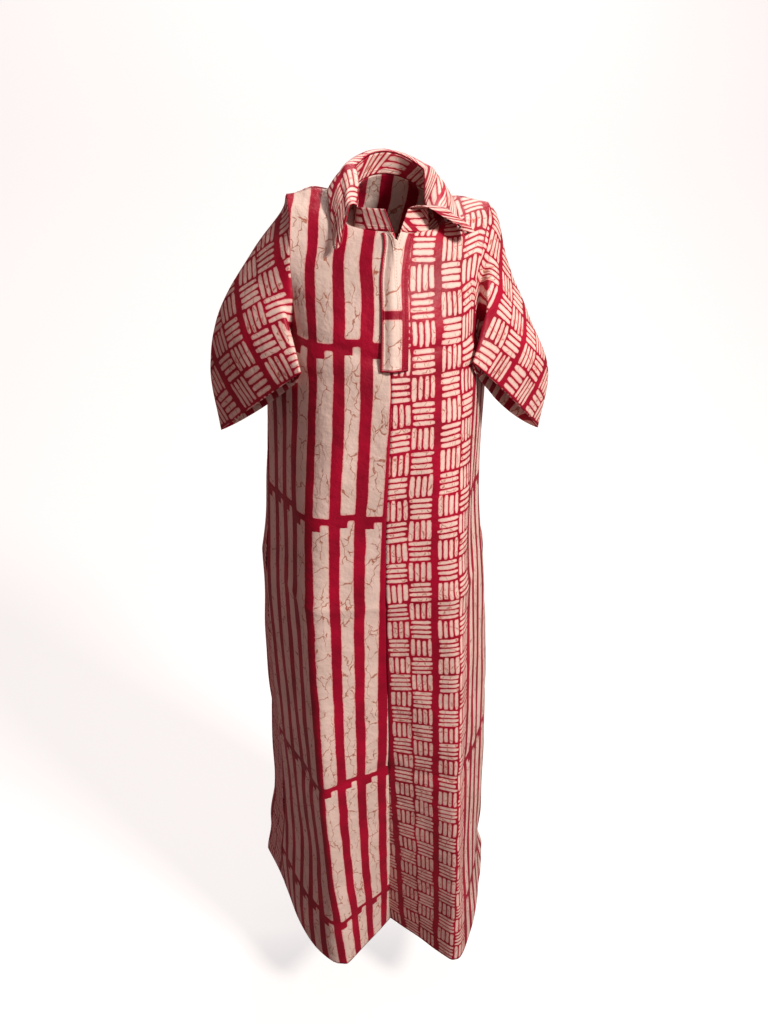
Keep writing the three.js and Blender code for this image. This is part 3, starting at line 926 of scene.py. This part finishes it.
    def _basket_field(self, add: Adder, u: object, v: object) -> object:
        """Depth inside the short cream bars.

        Args:
            add: the node helper.
            u: the place along the weft, in mm.
            v: the place along the warp, in mm.

        Returns:
            The depth in mm, negative on the ground.
        """
        b = self.basket
        strip = 2 * b.cell + b.band
        strips = add("Math DIVIDE", u, strip)
        strip_no = add("Math FLOOR", strips)
        in_strip = add("Math MULTIPLY", add("Math FRACT", strips), strip)
        edge = add("Math SUBTRACT", 2 * b.cell - b.rim, in_strip)
        column = add("Math DIVIDE", in_strip, b.cell)
        row = add("Math DIVIDE", v, b.cell)
        column_no = add("Math FLOOR", column)
        row_no = add("Math FLOOR", row)
        count = add("Math ADD", add("Math MULTIPLY", strip_no, 2.0), column_no)
        total = add("Math ADD", count, row_no)
        turn = add("Math GREATER_THAN", add("Math FRACT", add("Math MULTIPLY", total, 0.5)), 0.25)
        in_u, in_v = (
            add("Math MULTIPLY", add("Math SUBTRACT", add("Math FRACT", place), 0.5), b.cell)
            for place in (column, row)
        )
        across = add("Mix", {"Factor": turn, "A": in_u, "B": in_v}, data_type="FLOAT")
        along = add("Mix", {"Factor": turn, "A": in_v, "B": in_u}, data_type="FLOAT")
        pitch = b.cell / b.bars
        bars = add("Math DIVIDE", across, pitch)
        bar_no = add("Math FLOOR", bars)
        beside = add("Math SUBTRACT", add("Math SUBTRACT", bars, bar_no), 0.5)
        offset = add("Math MULTIPLY", beside, pitch)
        key = add("CombineXYZ", count, row_no, bar_no)
        chance = add("TexWhiteNoise", {"Vector": key}, out="Color", noise_dimensions="3D")
        dice = add("SeparateXYZ", chance)
        width = add("MapRange", dice, 0.0, 1.0, *(b.half_bar + k for k in b.bar_spread))
        length = add("MapRange", dice.node.outputs[1], 0.0, 1.0,
                     *(b.half_length + k for k in b.length_spread))
        slip = add("MapRange", dice.node.outputs[2], 0.0, 1.0, -b.slip, b.slip)
        reach = add("Math ABSOLUTE", add("Math ADD", along, slip))
        narrow = add("MapRange", reach, b.taper_from, b.half_length, 0.0, b.taper,
                     interpolation_type="SMOOTHSTEP")
        side = add("Math SUBTRACT", add("Math SUBTRACT", width, narrow),
                   add("Math ABSOLUTE", offset))
        end = add("Math SUBTRACT", length, reach)
        inner = add("Math SMOOTH_MIN", side, end, b.corner)
        return add("Math MINIMUM", inner, edge)

    def _cream_field(self, add: Adder, u: object, v: object) -> object:
        """Depth inside one broad cream bar with red edges.

        Args:
            add: the node helper.
            u: the place along the weft, in mm.
            v: the place along the warp, in mm.

        Returns:
            The depth in mm, negative on the ground.
        """
        bar = self.strip
        side = add("Math SUBTRACT", bar.half_bar, add("Math ABSOLUTE", u))
        foot = add("Math ADD", v, -(PLACKET_END + bar.foot))
        inner = add("Math SMOOTH_MIN", side, foot, bar.foot_corner)
        clear = self._clear_of(add, add("Math ADD", v, -STRIP_BREAK))
        return add("Math SMOOTH_MIN", inner, clear, self.stripes.corner)

    def _colour(self, add: Adder, cloth: object, depth: object, resist: object) -> object:
        """The dyes' colour from the resist's depth in mm.

        Args:
            add: the node helper.
            cloth: the place in the cloth, in mm.
            depth: depth inside the resist, in mm.
            resist: 1 under the wax, 0 on the ground.

        Returns:
            The colour.
        """
        d, p = self.dye, self.polish
        rim = add("MapRange", depth, *p.rim, 1.0, 0.0, interpolation_type="SMOOTHSTEP")
        blotch = add("TexNoise", {"Vector": cloth, "Scale": 1 / p.blotch, "Detail": 3.0},
                     out="Fac", noise_dimensions="2D")
        tone = add("MapRange", blotch, 0.3, 0.7, 0.0, 1.0)
        ground, wax = (
            add("Mix", {"Factor": tone, 6: linear(dull), 7: linear(clear)}, out=2, data_type="RGBA")
            for dull, clear in ((d.ground_deep, d.ground), (d.resist_grey, d.resist))
        )
        reverse = add("Math MULTIPLY", add("NewGeometry", out="Backfacing"), p.reverse)
        rim = add("Math MULTIPLY", rim, p.rim_strength)
        for share, over in ((self._crackle(add, cloth), d.crackle), (rim, d.rim)):
            wax = add("Mix", {"Factor": share, 6: wax, 7: linear(over)}, out=2, data_type="RGBA")
        colour = add("Mix", {"Factor": resist, 6: ground, 7: wax}, out=2, data_type="RGBA")
        return add("Mix", {"Factor": reverse, 6: colour, 7: linear(d.inside)}, out=2,
                   data_type="RGBA")

    def _crackle(self, add: Adder, cloth: object) -> object:
        """Thin brown lines, where wax that cracked in the bath let dye through.

        Args:
            add: the node helper.
            cloth: the place in the cloth, in mm.

        Returns:
            1 on a line at full strength, 0 beside it.
        """
        bent = add("VectorMath ADD", cloth, self._wander(add, cloth, 16, 2.0, 16.0))
        cracked = add("Mapping", {"Vector": bent, "Rotation": (0.0, 0.0, 0.55),
                                  "Scale": (1.0, 0.42, 1.0)})
        patches = add("TexNoise", {"Vector": cloth, "Scale": 1 / 34, "Detail": 2.0}, out="Fac",
                      noise_dimensions="2D")
        lines = []
        for crackle in CRACKLES:
            crack = add("TexVoronoi", {"Vector": cracked, "Scale": 1 / crackle.cell},
                        out="Distance", feature="DISTANCE_TO_EDGE", voronoi_dimensions="2D")
            line = add("MapRange", crack, *crackle.line, 1.0, 0.0)
            where = add("MapRange", patches, *crackle.patches, 0.0, crackle.strength)
            lines.append(add("Math MULTIPLY", line, where))
        return add("Math MAXIMUM", *lines)

    def _gloss(self, add: Adder, cloth: object, resist: object) -> object:
        """Roughness: woven arcs in the ground, an even wax on the bars.

        Args:
            add: the node helper.
            cloth: the place in the cloth, in mm.
            resist: 1 under the wax, 0 on the ground.

        Returns:
            The roughness.
        """
        p = self.polish
        arcs = add("TexWave", {"Vector": cloth, "Scale": 1 / p.arcs, "Distortion": 2.0,
                               "Detail": 1.0, "Detail Scale": 0.2}, out="Fac",
                   wave_type="RINGS", rings_direction="SPHERICAL")
        gloss = add("MapRange", arcs, 0.0, 1.0, *p.ground_gloss)
        return add("Mix", {"Factor": resist, "A": gloss, "B": p.wax_gloss}, data_type="FLOAT")

    def _relief(self, add: Adder, cloth: object, u: object, v: object) -> object:
        """Height of threads, crumples and stitches, in mm.

        Args:
            add: the node helper.
            cloth: the place in the cloth, in mm.
            u: the place along the weft, in mm.
            v: the place along the warp, in mm.

        Returns:
            The height in mm.
        """
        p = self.polish
        threads = add("Math MULTIPLY", *(
            add("Math SINE", add("Math MULTIPLY", place, 2 * math.pi / p.threads))
            for place in (u, v)
        ))
        crumple = add("TexNoise", {"Vector": cloth, "Scale": 1 / p.crumple, "Detail": 4.0,
                                   "Roughness": 0.6}, out="Fac", noise_dimensions="2D")
        relief = add("Math ADD", add("Math MULTIPLY", threads, p.thread_height),
                     add("Math MULTIPLY", crumple, p.crumple_height))
        return self._stitches(add, relief)

    def _stitches(self, add: Adder, relief: object) -> object:
        """Adds the turned edge's step and its row of stitches to the relief.

        Args:
            add: the node helper.
            relief: the height so far, in mm.

        Returns:
            The height with the hem, in mm.
        """
        if not self.hem_stitch:
            return relief
        edge = add("SeparateXYZ", self._millimetres(add, "edge"))
        away = edge.node.outputs[1]
        turned = add("MapRange", away, self.hem_stitch + 1.0, self.hem_stitch + 3.0, 0.7, 0.0,
                     interpolation_type="SMOOTHSTEP")
        aside = add("Math ABSOLUTE", add("Math ADD", away, -self.hem_stitch))
        near = add("MapRange", aside, 0.3, 1.1, 1.0, 0.0)
        dash = add("Math SINE", add("Math MULTIPLY", edge, 2 * math.pi / 3.0))
        dent = add("Math MULTIPLY", near, add("MapRange", dash, -0.6, 0.2, -0.9, -0.25))
        return add("Math ADD", relief, add("Math ADD", turned, dent))


# ---------------------------------------------------------------- pieces
@dataclass
class Panel:
    """A cut piece of cloth: a grid on the garment's surface, then a thin wall."""

    name: str
    slot: str
    grid: Array
    cloth_u: Array
    cloth_v: Array
    edge_run: Array
    edge_away: Array
    outward: float
    creases: tuple[Crease, ...] = ()
    unrest: float = 0.0
    seed: int = 1
    thickness: float = CLOTH

    @property
    def node(self) -> str:
        """The construction's node whose place this piece takes."""
        return self.name.removesuffix("_cloth")

    def normals(self) -> Array:
        """The grid's normals.

        Returns:
            A unit vector at each grid point, outward.
        """
        du = np.gradient(self.grid, axis=1)
        dv = np.gradient(self.grid, axis=0)
        return unit(np.cross(du, dv)) * self.outward

    def relief(self) -> Array:
        """The cloth's creases and unrest, in mm along the normal.

        Returns:
            The lift of each grid point.
        """
        out = ripple(self.cloth_u, self.cloth_v, self.seed, self.unrest)
        for crease in self.creases:
            out = out + crease.relief(self.cloth_u, self.cloth_v)
        return out

    def build(self, material: bpy.types.Material) -> bpy.types.Object:
        """Args:
            material: the cloth it is cut from.

        Returns:
            The finished object.
        """
        place = self.grid + self.normals() * self.relief()[..., None]
        rows, columns = place.shape[:2]
        work = bmesh.new()
        made = bmesh.ops.create_grid(work, x_segments=columns - 1, y_segments=rows - 1, size=0.5)
        verts = sorted(made["verts"], key=lambda vert: (round(vert.co.y, 6), round(vert.co.x, 6)))
        flat = place.reshape(-1, 3) * MM
        cloth_uv = np.stack([self.cloth_u, self.cloth_v], -1).reshape(-1, 2) * MM
        edge_uv = np.stack([self.edge_run, self.edge_away], -1).reshape(-1, 2) * MM
        cloth_layer = work.loops.layers.uv.new("cloth")
        edge_layer = work.loops.layers.uv.new("edge")
        order = {}
        for k, vert in enumerate(verts):
            vert.co = Vector(flat[k])
            order[vert] = k
        for face in work.faces:
            face.smooth = True
            for loop in face.loops:
                k = order[loop.vert]
                loop[cloth_layer].uv = cloth_uv[k]
                loop[edge_layer].uv = edge_uv[k]
        if self.outward < 0:
            bmesh.ops.reverse_faces(work, faces=work.faces)
        mesh = bpy.data.meshes.new(self.name)
        work.to_mesh(mesh)
        work.free()
        obj = put(self.name, mesh)
        mesh.materials.append(material)
        wall = obj.modifiers.new("wall", "SOLIDIFY")
        wall.thickness = self.thickness * MM
        wall.offset = 0.0
        wall.use_even_offset = True
        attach(obj, "root")
        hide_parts(self.node)
        self._declare()
        LOG.info("%s: %d faces", self.name, len(mesh.polygons))
        return obj

    def _declare(self) -> None:
        """Works out the width, length and area this piece was cut to; the values are not kept or
        stated.
        """
        along = np.linalg.norm(np.diff(self.grid, axis=1), axis=-1).sum(axis=1)
        down = np.linalg.norm(np.diff(self.grid, axis=0), axis=-1).sum(axis=0)
        width, length = float(along.max()) * MM, float(down.max()) * MM
        a, b = self.grid[:-1, :-1], self.grid[:-1, 1:]
        c, d = self.grid[1:, 1:], self.grid[1:, :-1]
        area = np.linalg.norm(np.cross(c - a, b - d), axis=-1).sum() / 2 * MM * MM
        area = min(float(area), width * length)


def run_lengths(grid: Array, axis: int = 1) -> Array:
    """Distances over a grid of points.

    Args:
        grid: rows and columns of points.
        axis: 1 to run along the rows, 0 to run down the columns.

    Returns:
        The distance of each point from the first one of its row or column.
    """
    steps = np.linalg.norm(np.diff(grid, axis=axis), axis=-1)
    start = np.zeros_like(steps.take([0], axis))
    return np.concatenate([start, np.cumsum(steps, axis=axis)], axis=axis)


def fall_lengths(grid: Array, cloth_u: Array, levels: Array) -> Array:
    """Heights in the cloth, which stay level with the rows up to the underarm.

    Args:
        grid: rows and columns of points, hem first.
        cloth_u: the points' places along the weft.
        levels: the rows' height labels.

    Returns:
        The label of each point's row, and above the underarm the distance that
        is run up its column from there.
    """
    rise = np.linalg.norm(np.diff(grid, axis=0), axis=-1)
    slide = np.diff(cloth_u, axis=0)
    rise = np.sqrt(np.maximum(rise**2 - slide**2, (0.5 * rise) ** 2))
    out = np.repeat(levels[:, None], grid.shape[1], axis=1).astype(float)
    start = int(np.argmax(levels >= UNDERARM))
    out[start + 1 :] = out[start] + np.cumsum(rise[start:], axis=0)
    return out


@dataclass
class Body:
    """The two fronts and the back."""

    skirt_rows: int = 250
    chest_rows: int = 44
    neck_rows: int = 22
    centre_columns: int = 32
    side_columns: int = 38
    spine_columns: int = 40
    grain: float = 115.0  # the stripes run this far beside the fold, up to the chest's centre

    def levels(self) -> Array:
        """The height labels of the rows.

        Returns:
            The labels, hem first.
        """
        return np.concatenate([
            np.linspace(HEM, UNDERARM, self.skirt_rows),
            np.linspace(UNDERARM, FRONT_NECK, self.chest_rows)[1:],
            np.linspace(FRONT_NECK, 0, self.neck_rows)[1:],
        ])

    def _places(self, grid: Array, column: int, grain: float) -> tuple[Array, ...]:
        """Where a body piece's points lie in the cloth and beside its hem.

        Args:
            grid: the piece's points.
            column: the grid's column that runs with the grain.
            grain: that column's place along the weft.

        Returns:
            The places along weft and warp, along the hem and away from it.
        """
        levels = self.levels()
        run = run_lengths(grid)
        cloth_u = run - run[:, column][:, None] + grain
        away = np.repeat((levels - HEM)[:, None], grid.shape[1], axis=1)
        return cloth_u, fall_lengths(grid, cloth_u, levels), cloth_u, away

    def front(self, side: int, name: str, slot: str, creases: tuple[Crease, ...]) -> Panel:
        """One half of the front.

        Args:
            side: -1 for the wearer's right, 1 for the left.
            name: the object's name.
            slot: a material slot name, kept on the piece; no slot is filled with it.
            creases: its pressed folds.

        Returns:
            The piece.
        """
        levels = self.levels()
        at = np.concatenate([
            np.linspace(-1, 0, self.centre_columns),
            np.linspace(0, 1, self.side_columns)[1:],
        ])
        grid = front_surface(side, *np.broadcast_arrays(at[None, :], levels[:, None]))
        places = self._places(grid, self.centre_columns - 1, self.grain)
        return Panel(name, slot, grid, *places, outward=float(side), creases=creases, unrest=1.1,
                     seed=11 + side)

    def back(self, creases: tuple[Crease, ...]) -> Panel:
        """The whole back, from the wearer's right side to the left.

        Args:
            creases: its pressed folds.

        Returns:
            The piece.
        """
        levels = self.levels()
        half = np.concatenate([
            np.linspace(-1, 0, self.spine_columns),
            np.linspace(0, 1, self.side_columns)[1:],
        ])
        pair = [
            back_surface(side, *np.broadcast_arrays(half[None, :], levels[:, None]))
            for side in (-1, 1)
        ]
        grid = np.concatenate([pair[0][:, ::-1], pair[1][:, 1:]], axis=1)
        places = self._places(grid, len(half) - 1, 0.0)
        return Panel("back_cloth", "cloth_stripes", grid, *places, outward=-1.0, creases=creases,
                     unrest=1.4, seed=5)


@dataclass
class Sleeves:
    """The two short sleeves, which hang empty."""

    round_columns: int = 110
    rows: int = 70

    def sleeve(self, side: int, name: str) -> Panel:
        """One sleeve, a flattened tube from the armhole to the cuff.

        Args:
            side: -1 for the wearer's right, 1 for the left.
            name: the object's name.

        Returns:
            The piece.
        """
        turn = np.linspace(-1, 1, self.round_columns)
        t = np.linspace(0, 1, self.rows)
        grid = sleeve_surface(side, turn, t)
        run = run_lengths(grid)
        down = run_lengths(grid, 0)
        away = down[-1:] - down
        # The print lies square to the cuff on the flat front layer.
        tip, corner = grid[0, self.round_columns // 2], grid[-1, self.round_columns // 2]
        inner = grid[-1, int(self.round_columns * (1 - SLEEVE_FOLD) / 2)]
        level = unit(inner - corner)
        upward = unit(np.cross(level, np.cross(tip - corner, level)))
        cloth_u = (grid - corner) @ level
        cloth_v = (grid - corner) @ upward
        cloth_u = np.where(turn[None, :] <= 0, cloth_u, -cloth_u)
        return Panel(name, "cloth_basket", grid, cloth_u, cloth_v, run, away,
                     outward=float(-side), unrest=0.8, seed=20 + side)


@dataclass
class Collar:
    """The stand round the neck and the pointed fall that turns down over it."""

    columns: int = 161
    stand_rows: int = 12
    fall_rows: int = 26

    def _grid(self, surface: Callable[..., Array], rows: int) -> Array:
        """Points of a surface round the neck."""
        return surface(*np.broadcast_arrays(
            np.linspace(0, 1, self.columns)[None, :], np.linspace(0, 1, rows)[:, None]))

    def stand(self) -> Panel:
        """The standing band.

        Returns:
            The piece.
        """
        grid = self._grid(stand_surface, self.stand_rows)
        run = run_lengths(grid)
        down = run_lengths(grid, 0)
        return Panel("collar_stand_cloth", "cloth_basket", grid, run, down, run, down,
                     outward=-1.0)

    def fall(self) -> Panel:
        """The fall with its two points.

        Returns:
            The piece.
        """
        grid = self._grid(fall_surface, self.fall_rows)
        run = run_lengths(grid)
        down = run_lengths(grid, 0)
        away = np.minimum(down[-1:] - down, np.minimum(run, run[:, -1:] - run))
        return Panel("collar_fall_cloth", "cloth_basket", grid, run, down, run, away, outward=1.0)


@dataclass
class Placket:
    """The half placket: an upper strip that laps an under strip."""

    rows: int = 90
    columns: int = 24
    under_edges: tuple[float, float] = (0.4, 22.0)

    def _strip(self, name: str, distance: Array, level: Array, lift: Array) -> Panel:
        """A strip made from the front's points, moved out.

        Args:
            name: the object's name.
            distance: each point's place beside the centre line.
            level: each point's height label.
            lift: how far it lies off the front's middle layer.

        Returns:
            The piece.
        """
        ground = beside_centre(distance, level)
        normals = unit(np.cross(np.gradient(ground, axis=1), np.gradient(ground, axis=0)))
        grid = ground + normals * lift[..., None]
        away = np.minimum(distance - distance[:, :1], distance[:, -1:] - distance)
        away = np.minimum(away, level - PLACKET_END)
        return Panel(name, "cloth_cream", grid, distance, level, level, away, outward=1.0)

    def under(self) -> Panel:
        """The strip on the wearer's left front.

        Returns:
            The piece.
        """
        level = np.linspace(PLACKET_END, FRONT_NECK, self.rows)[:, None]
        distance = np.linspace(*self.under_edges, self.columns)[None, :]
        distance, level = (np.array(a) for a in np.broadcast_arrays(distance, level))
        lift = np.full(distance.shape, STRIP_LIFT)
        return self._strip("placket_under_cloth", distance, level, lift)

    def upper(self) -> Panel:
        """The strip on the wearer's right front, which laps over.

        Returns:
            The piece.
        """
        level = np.linspace(PLACKET_END, FRONT_NECK, self.rows)[:, None]
        high = PARTING.at(level)["edge"]
        share = np.linspace(0, 1, self.columns)[None, :]
        distance = -PLACKET_HALF + (high + PLACKET_HALF) * share
        level = np.array(np.broadcast_to(level, distance.shape))
        climb = SEAM_GAP + STRIP_WALL + LAP_CLEAR
        lift = STRIP_LIFT + climb * ramp(distance, LAP_FROM, LAP_TO)
        return self._strip("placket_upper_cloth", distance, level, lift)


# ---------------------------------------------------------------- setting
@dataclass(frozen=True)
class Lamp:
    """A square soft light, in metres and watts, aimed at the garment's middle."""

    name: str
    place: tuple[float, float, float]
    size: float
    watts: float
    colour: str

    def hang(self) -> None:
        """Puts the light in the scene."""
        data = bpy.data.lights.new(self.name, "AREA")
        data.size = self.size
        data.energy = self.watts
        data.color = linear(self.colour)[:3]
        lamp = put(self.name, data)
        lamp.location = self.place
        aim = Vector((0.0, 0.0, -0.6)) - Vector(self.place)
        lamp.rotation_euler = aim.to_track_quat("-Z", "Y").to_euler()


LAMPS = (
    Lamp("key", (1.9, -2.1, 1.7), 0.6, 146.0, "#FFF3EA"),
    Lamp("fill", (0.5, -2.9, 0.4), 1.6, 7.0, "#FFF6F0"),
    Lamp("top", (0.4, 0.2, 2.4), 1.6, 8.0, "#FFFFFF"),
    Lamp("back", (0.9, 2.3, 2.2), 1.4, 60.0, "#FFF6EE"),
)


@dataclass(frozen=True)
class MattPaper:
    """Pale paper with some light of its own."""

    name: str = "matt paper"
    colour: str = "#B8B8B8"
    roughness: float = 0.9
    glow_colour: str = "#FFFFFF"
    glow: float = 0.7

    def make(self) -> bpy.types.Material:
        """Builds the material.

        Returns:
            The finished material.
        """
        paper = bpy.data.materials.new(self.name)
        paper.use_nodes = True
        shader = paper.node_tree.nodes["Principled BSDF"]
        looks = {
            "Base Color": linear(self.colour),
            "Roughness": self.roughness,
            "Emission Color": linear(self.glow_colour),
            "Emission Strength": self.glow,
        }
        for name, value in looks.items():
            shader.inputs[name].default_value = value
        return paper


@dataclass
class Studio:
    """Floor, light and camera, in metres."""

    eye_distance: float = 1.12
    eye_height: float = 0.07
    azimuth: float = math.radians(-8)
    pitch: float = math.radians(-26)
    lens: float = 27.04
    floor: float = -1.57
    floor_front: float = -4.5
    floor_length: float = 13.0
    floor_half_width: float = 5.0
    bend_from: float = 1.6
    bend_radius: float = 1.6
    floor_rows: int = 60
    sky: str = "#FFC2C0"
    sky_strength: float = 0.2

    def camera(self) -> None:
        """A camera at head height, close in front and looking down."""
        data = bpy.data.cameras.new("camera")
        data.lens = self.lens
        data.sensor_width = 36.0
        eye = put("camera", data)
        eye.location = (
            self.eye_distance * math.sin(self.azimuth),
            -self.eye_distance * math.cos(self.azimuth),
            self.eye_height,
        )
        eye.rotation_euler = (math.pi / 2 + self.pitch, 0.0, self.azimuth)
        bpy.context.scene.camera = eye

    def ground(self) -> None:
        """A plain pale floor that sweeps up behind."""
        work = bmesh.new()
        made = bmesh.ops.create_grid(work, x_segments=1, y_segments=self.floor_rows, size=1.0)
        for vert in made["verts"]:
            reach = (vert.co.y + 1) / 2 * self.floor_length + self.floor_front
            arc = self.bend_radius * math.pi / 2
            angle = min(max(reach - self.bend_from, 0.0), arc) / self.bend_radius
            wall = max(reach - self.bend_from - arc, 0.0)
            y = min(reach, self.bend_from) + self.bend_radius * math.sin(angle)
            z = self.bend_radius * (1 - math.cos(angle)) + wall
            vert.co = Vector((vert.co.x * self.floor_half_width, y, self.floor + z))
        for face in work.faces:
            face.smooth = True
        mesh = bpy.data.meshes.new("studio_floor")
        work.to_mesh(mesh)
        work.free()
        floor = put("studio_floor", mesh)
        mesh.materials.append(MattPaper().make())
        # The paper's own light stays off the cloth, which keeps its shaded side dark.
        floor.visible_diffuse = False
        floor.visible_glossy = False
        floor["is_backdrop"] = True

    def build(self) -> None:
        """Sets up everything that isn't the garment."""
        self.camera()
        self.ground()
        for lamp in LAMPS:
            lamp.hang()
        world = bpy.data.worlds.new("studio")
        world.use_nodes = True
        back = world.node_tree.nodes["Background"]
        back.inputs["Color"].default_value = linear(self.sky)
        back.inputs["Strength"].default_value = self.sky_strength
        bpy.context.scene.world = world
        bpy.context.scene.view_settings.view_transform = "Standard"


# ---------------------------------------------------------------- garment
# Pressed folds, in cloth millimetres beside the front fold, and on the back beside the spine.
FRONT_RIGHT_CREASES = (
    Crease(0, -205, 150, -165, -3.0, 11, 8),
    Crease(-20, -575, 170, -560, 3.0, 14, -6),
    Crease(-20, -925, 180, -955, -3.4, 15, 5),
)
FRONT_LEFT_CREASES = (
    Crease(0, -190, 150, -178, -2.6, 11, 4),
    Crease(-20, -575, 170, -566, 2.8, 14, 5),
    Crease(-20, -930, 180, -922, -3.0, 15, -4),
)
BACK_CREASES = (
    Crease(-260, -180, 260, -176, -2.0, 20, 5),
    Crease(-280, -565, 280, -560, 2.2, 24, -6),
    Crease(-320, -930, 320, -925, -2.4, 26, 5),
    Crease(0, HEM, 0, -120, 1.6, 16),
)


def main() -> dict[str, list[list[float]]]:
    """Builds the garment and its setting.

    Returns:
        The model's box before and after, in metres.
    """
    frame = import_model()
    sizes = {"cad": [list(map(float, corner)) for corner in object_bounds()]}
    LOG.info("frame with %d nodes", len(frame["nodes"]))
    Studio().build()
    body = Body()
    sleeves = Sleeves()
    collar = Collar()
    placket = Placket()
    right_front = WaxPrintCloth("right front wax print", hem_stitch=12.0)
    left_front = WaxPrintCloth("left front wax print", Print.BASKET, Print.STRIPES, 150.0,
                               hem_stitch=12.0)
    back = WaxPrintCloth("back wax print", Print.BASKET, Print.STRIPES, -120.0,
                         (-60.0, -312.0, -560.0, -812.0, -1062.0, -1310.0), hem_stitch=12.0)
    sleeve_print = WaxPrintCloth("sleeve wax print", Print.STRIPES, Print.BASKET, 0.0,
                                 (-150.0,), hem_stitch=12.0)
    collar_print = WaxPrintCloth("collar wax print", Print.BASKET, Print.BASKET, hem_stitch=5.0)
    strip_print = WaxPrintCloth("placket wax print", Print.CREAM, Print.CREAM, hem_stitch=3.0)
    pieces = [
        (body.front(-1, "front_right_cloth", "cloth_stripes", FRONT_RIGHT_CREASES), right_front),
        (body.front(1, "front_left_cloth", "cloth_basket", FRONT_LEFT_CREASES), left_front),
        (body.back(BACK_CREASES), back),
        (sleeves.sleeve(-1, "sleeve_right_cloth"), sleeve_print),
        (sleeves.sleeve(1, "sleeve_left_cloth"), sleeve_print),
        (collar.stand(), collar_print),
        (collar.fall(), collar_print),
        (placket.under(), strip_print),
        (placket.upper(), strip_print),
    ]
    made: dict[str, bpy.types.Material] = {}
    for panel, finish in pieces:
        if finish.name not in made:
            made[finish.name] = finish.make()
        panel.build(made[finish.name])
    sizes["visual"] = [list(map(float, corner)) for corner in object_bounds()]
    return sizes


if __name__ == "__main__":
    logging.basicConfig(level=logging.INFO, format="%(message)s")
    measured = main()
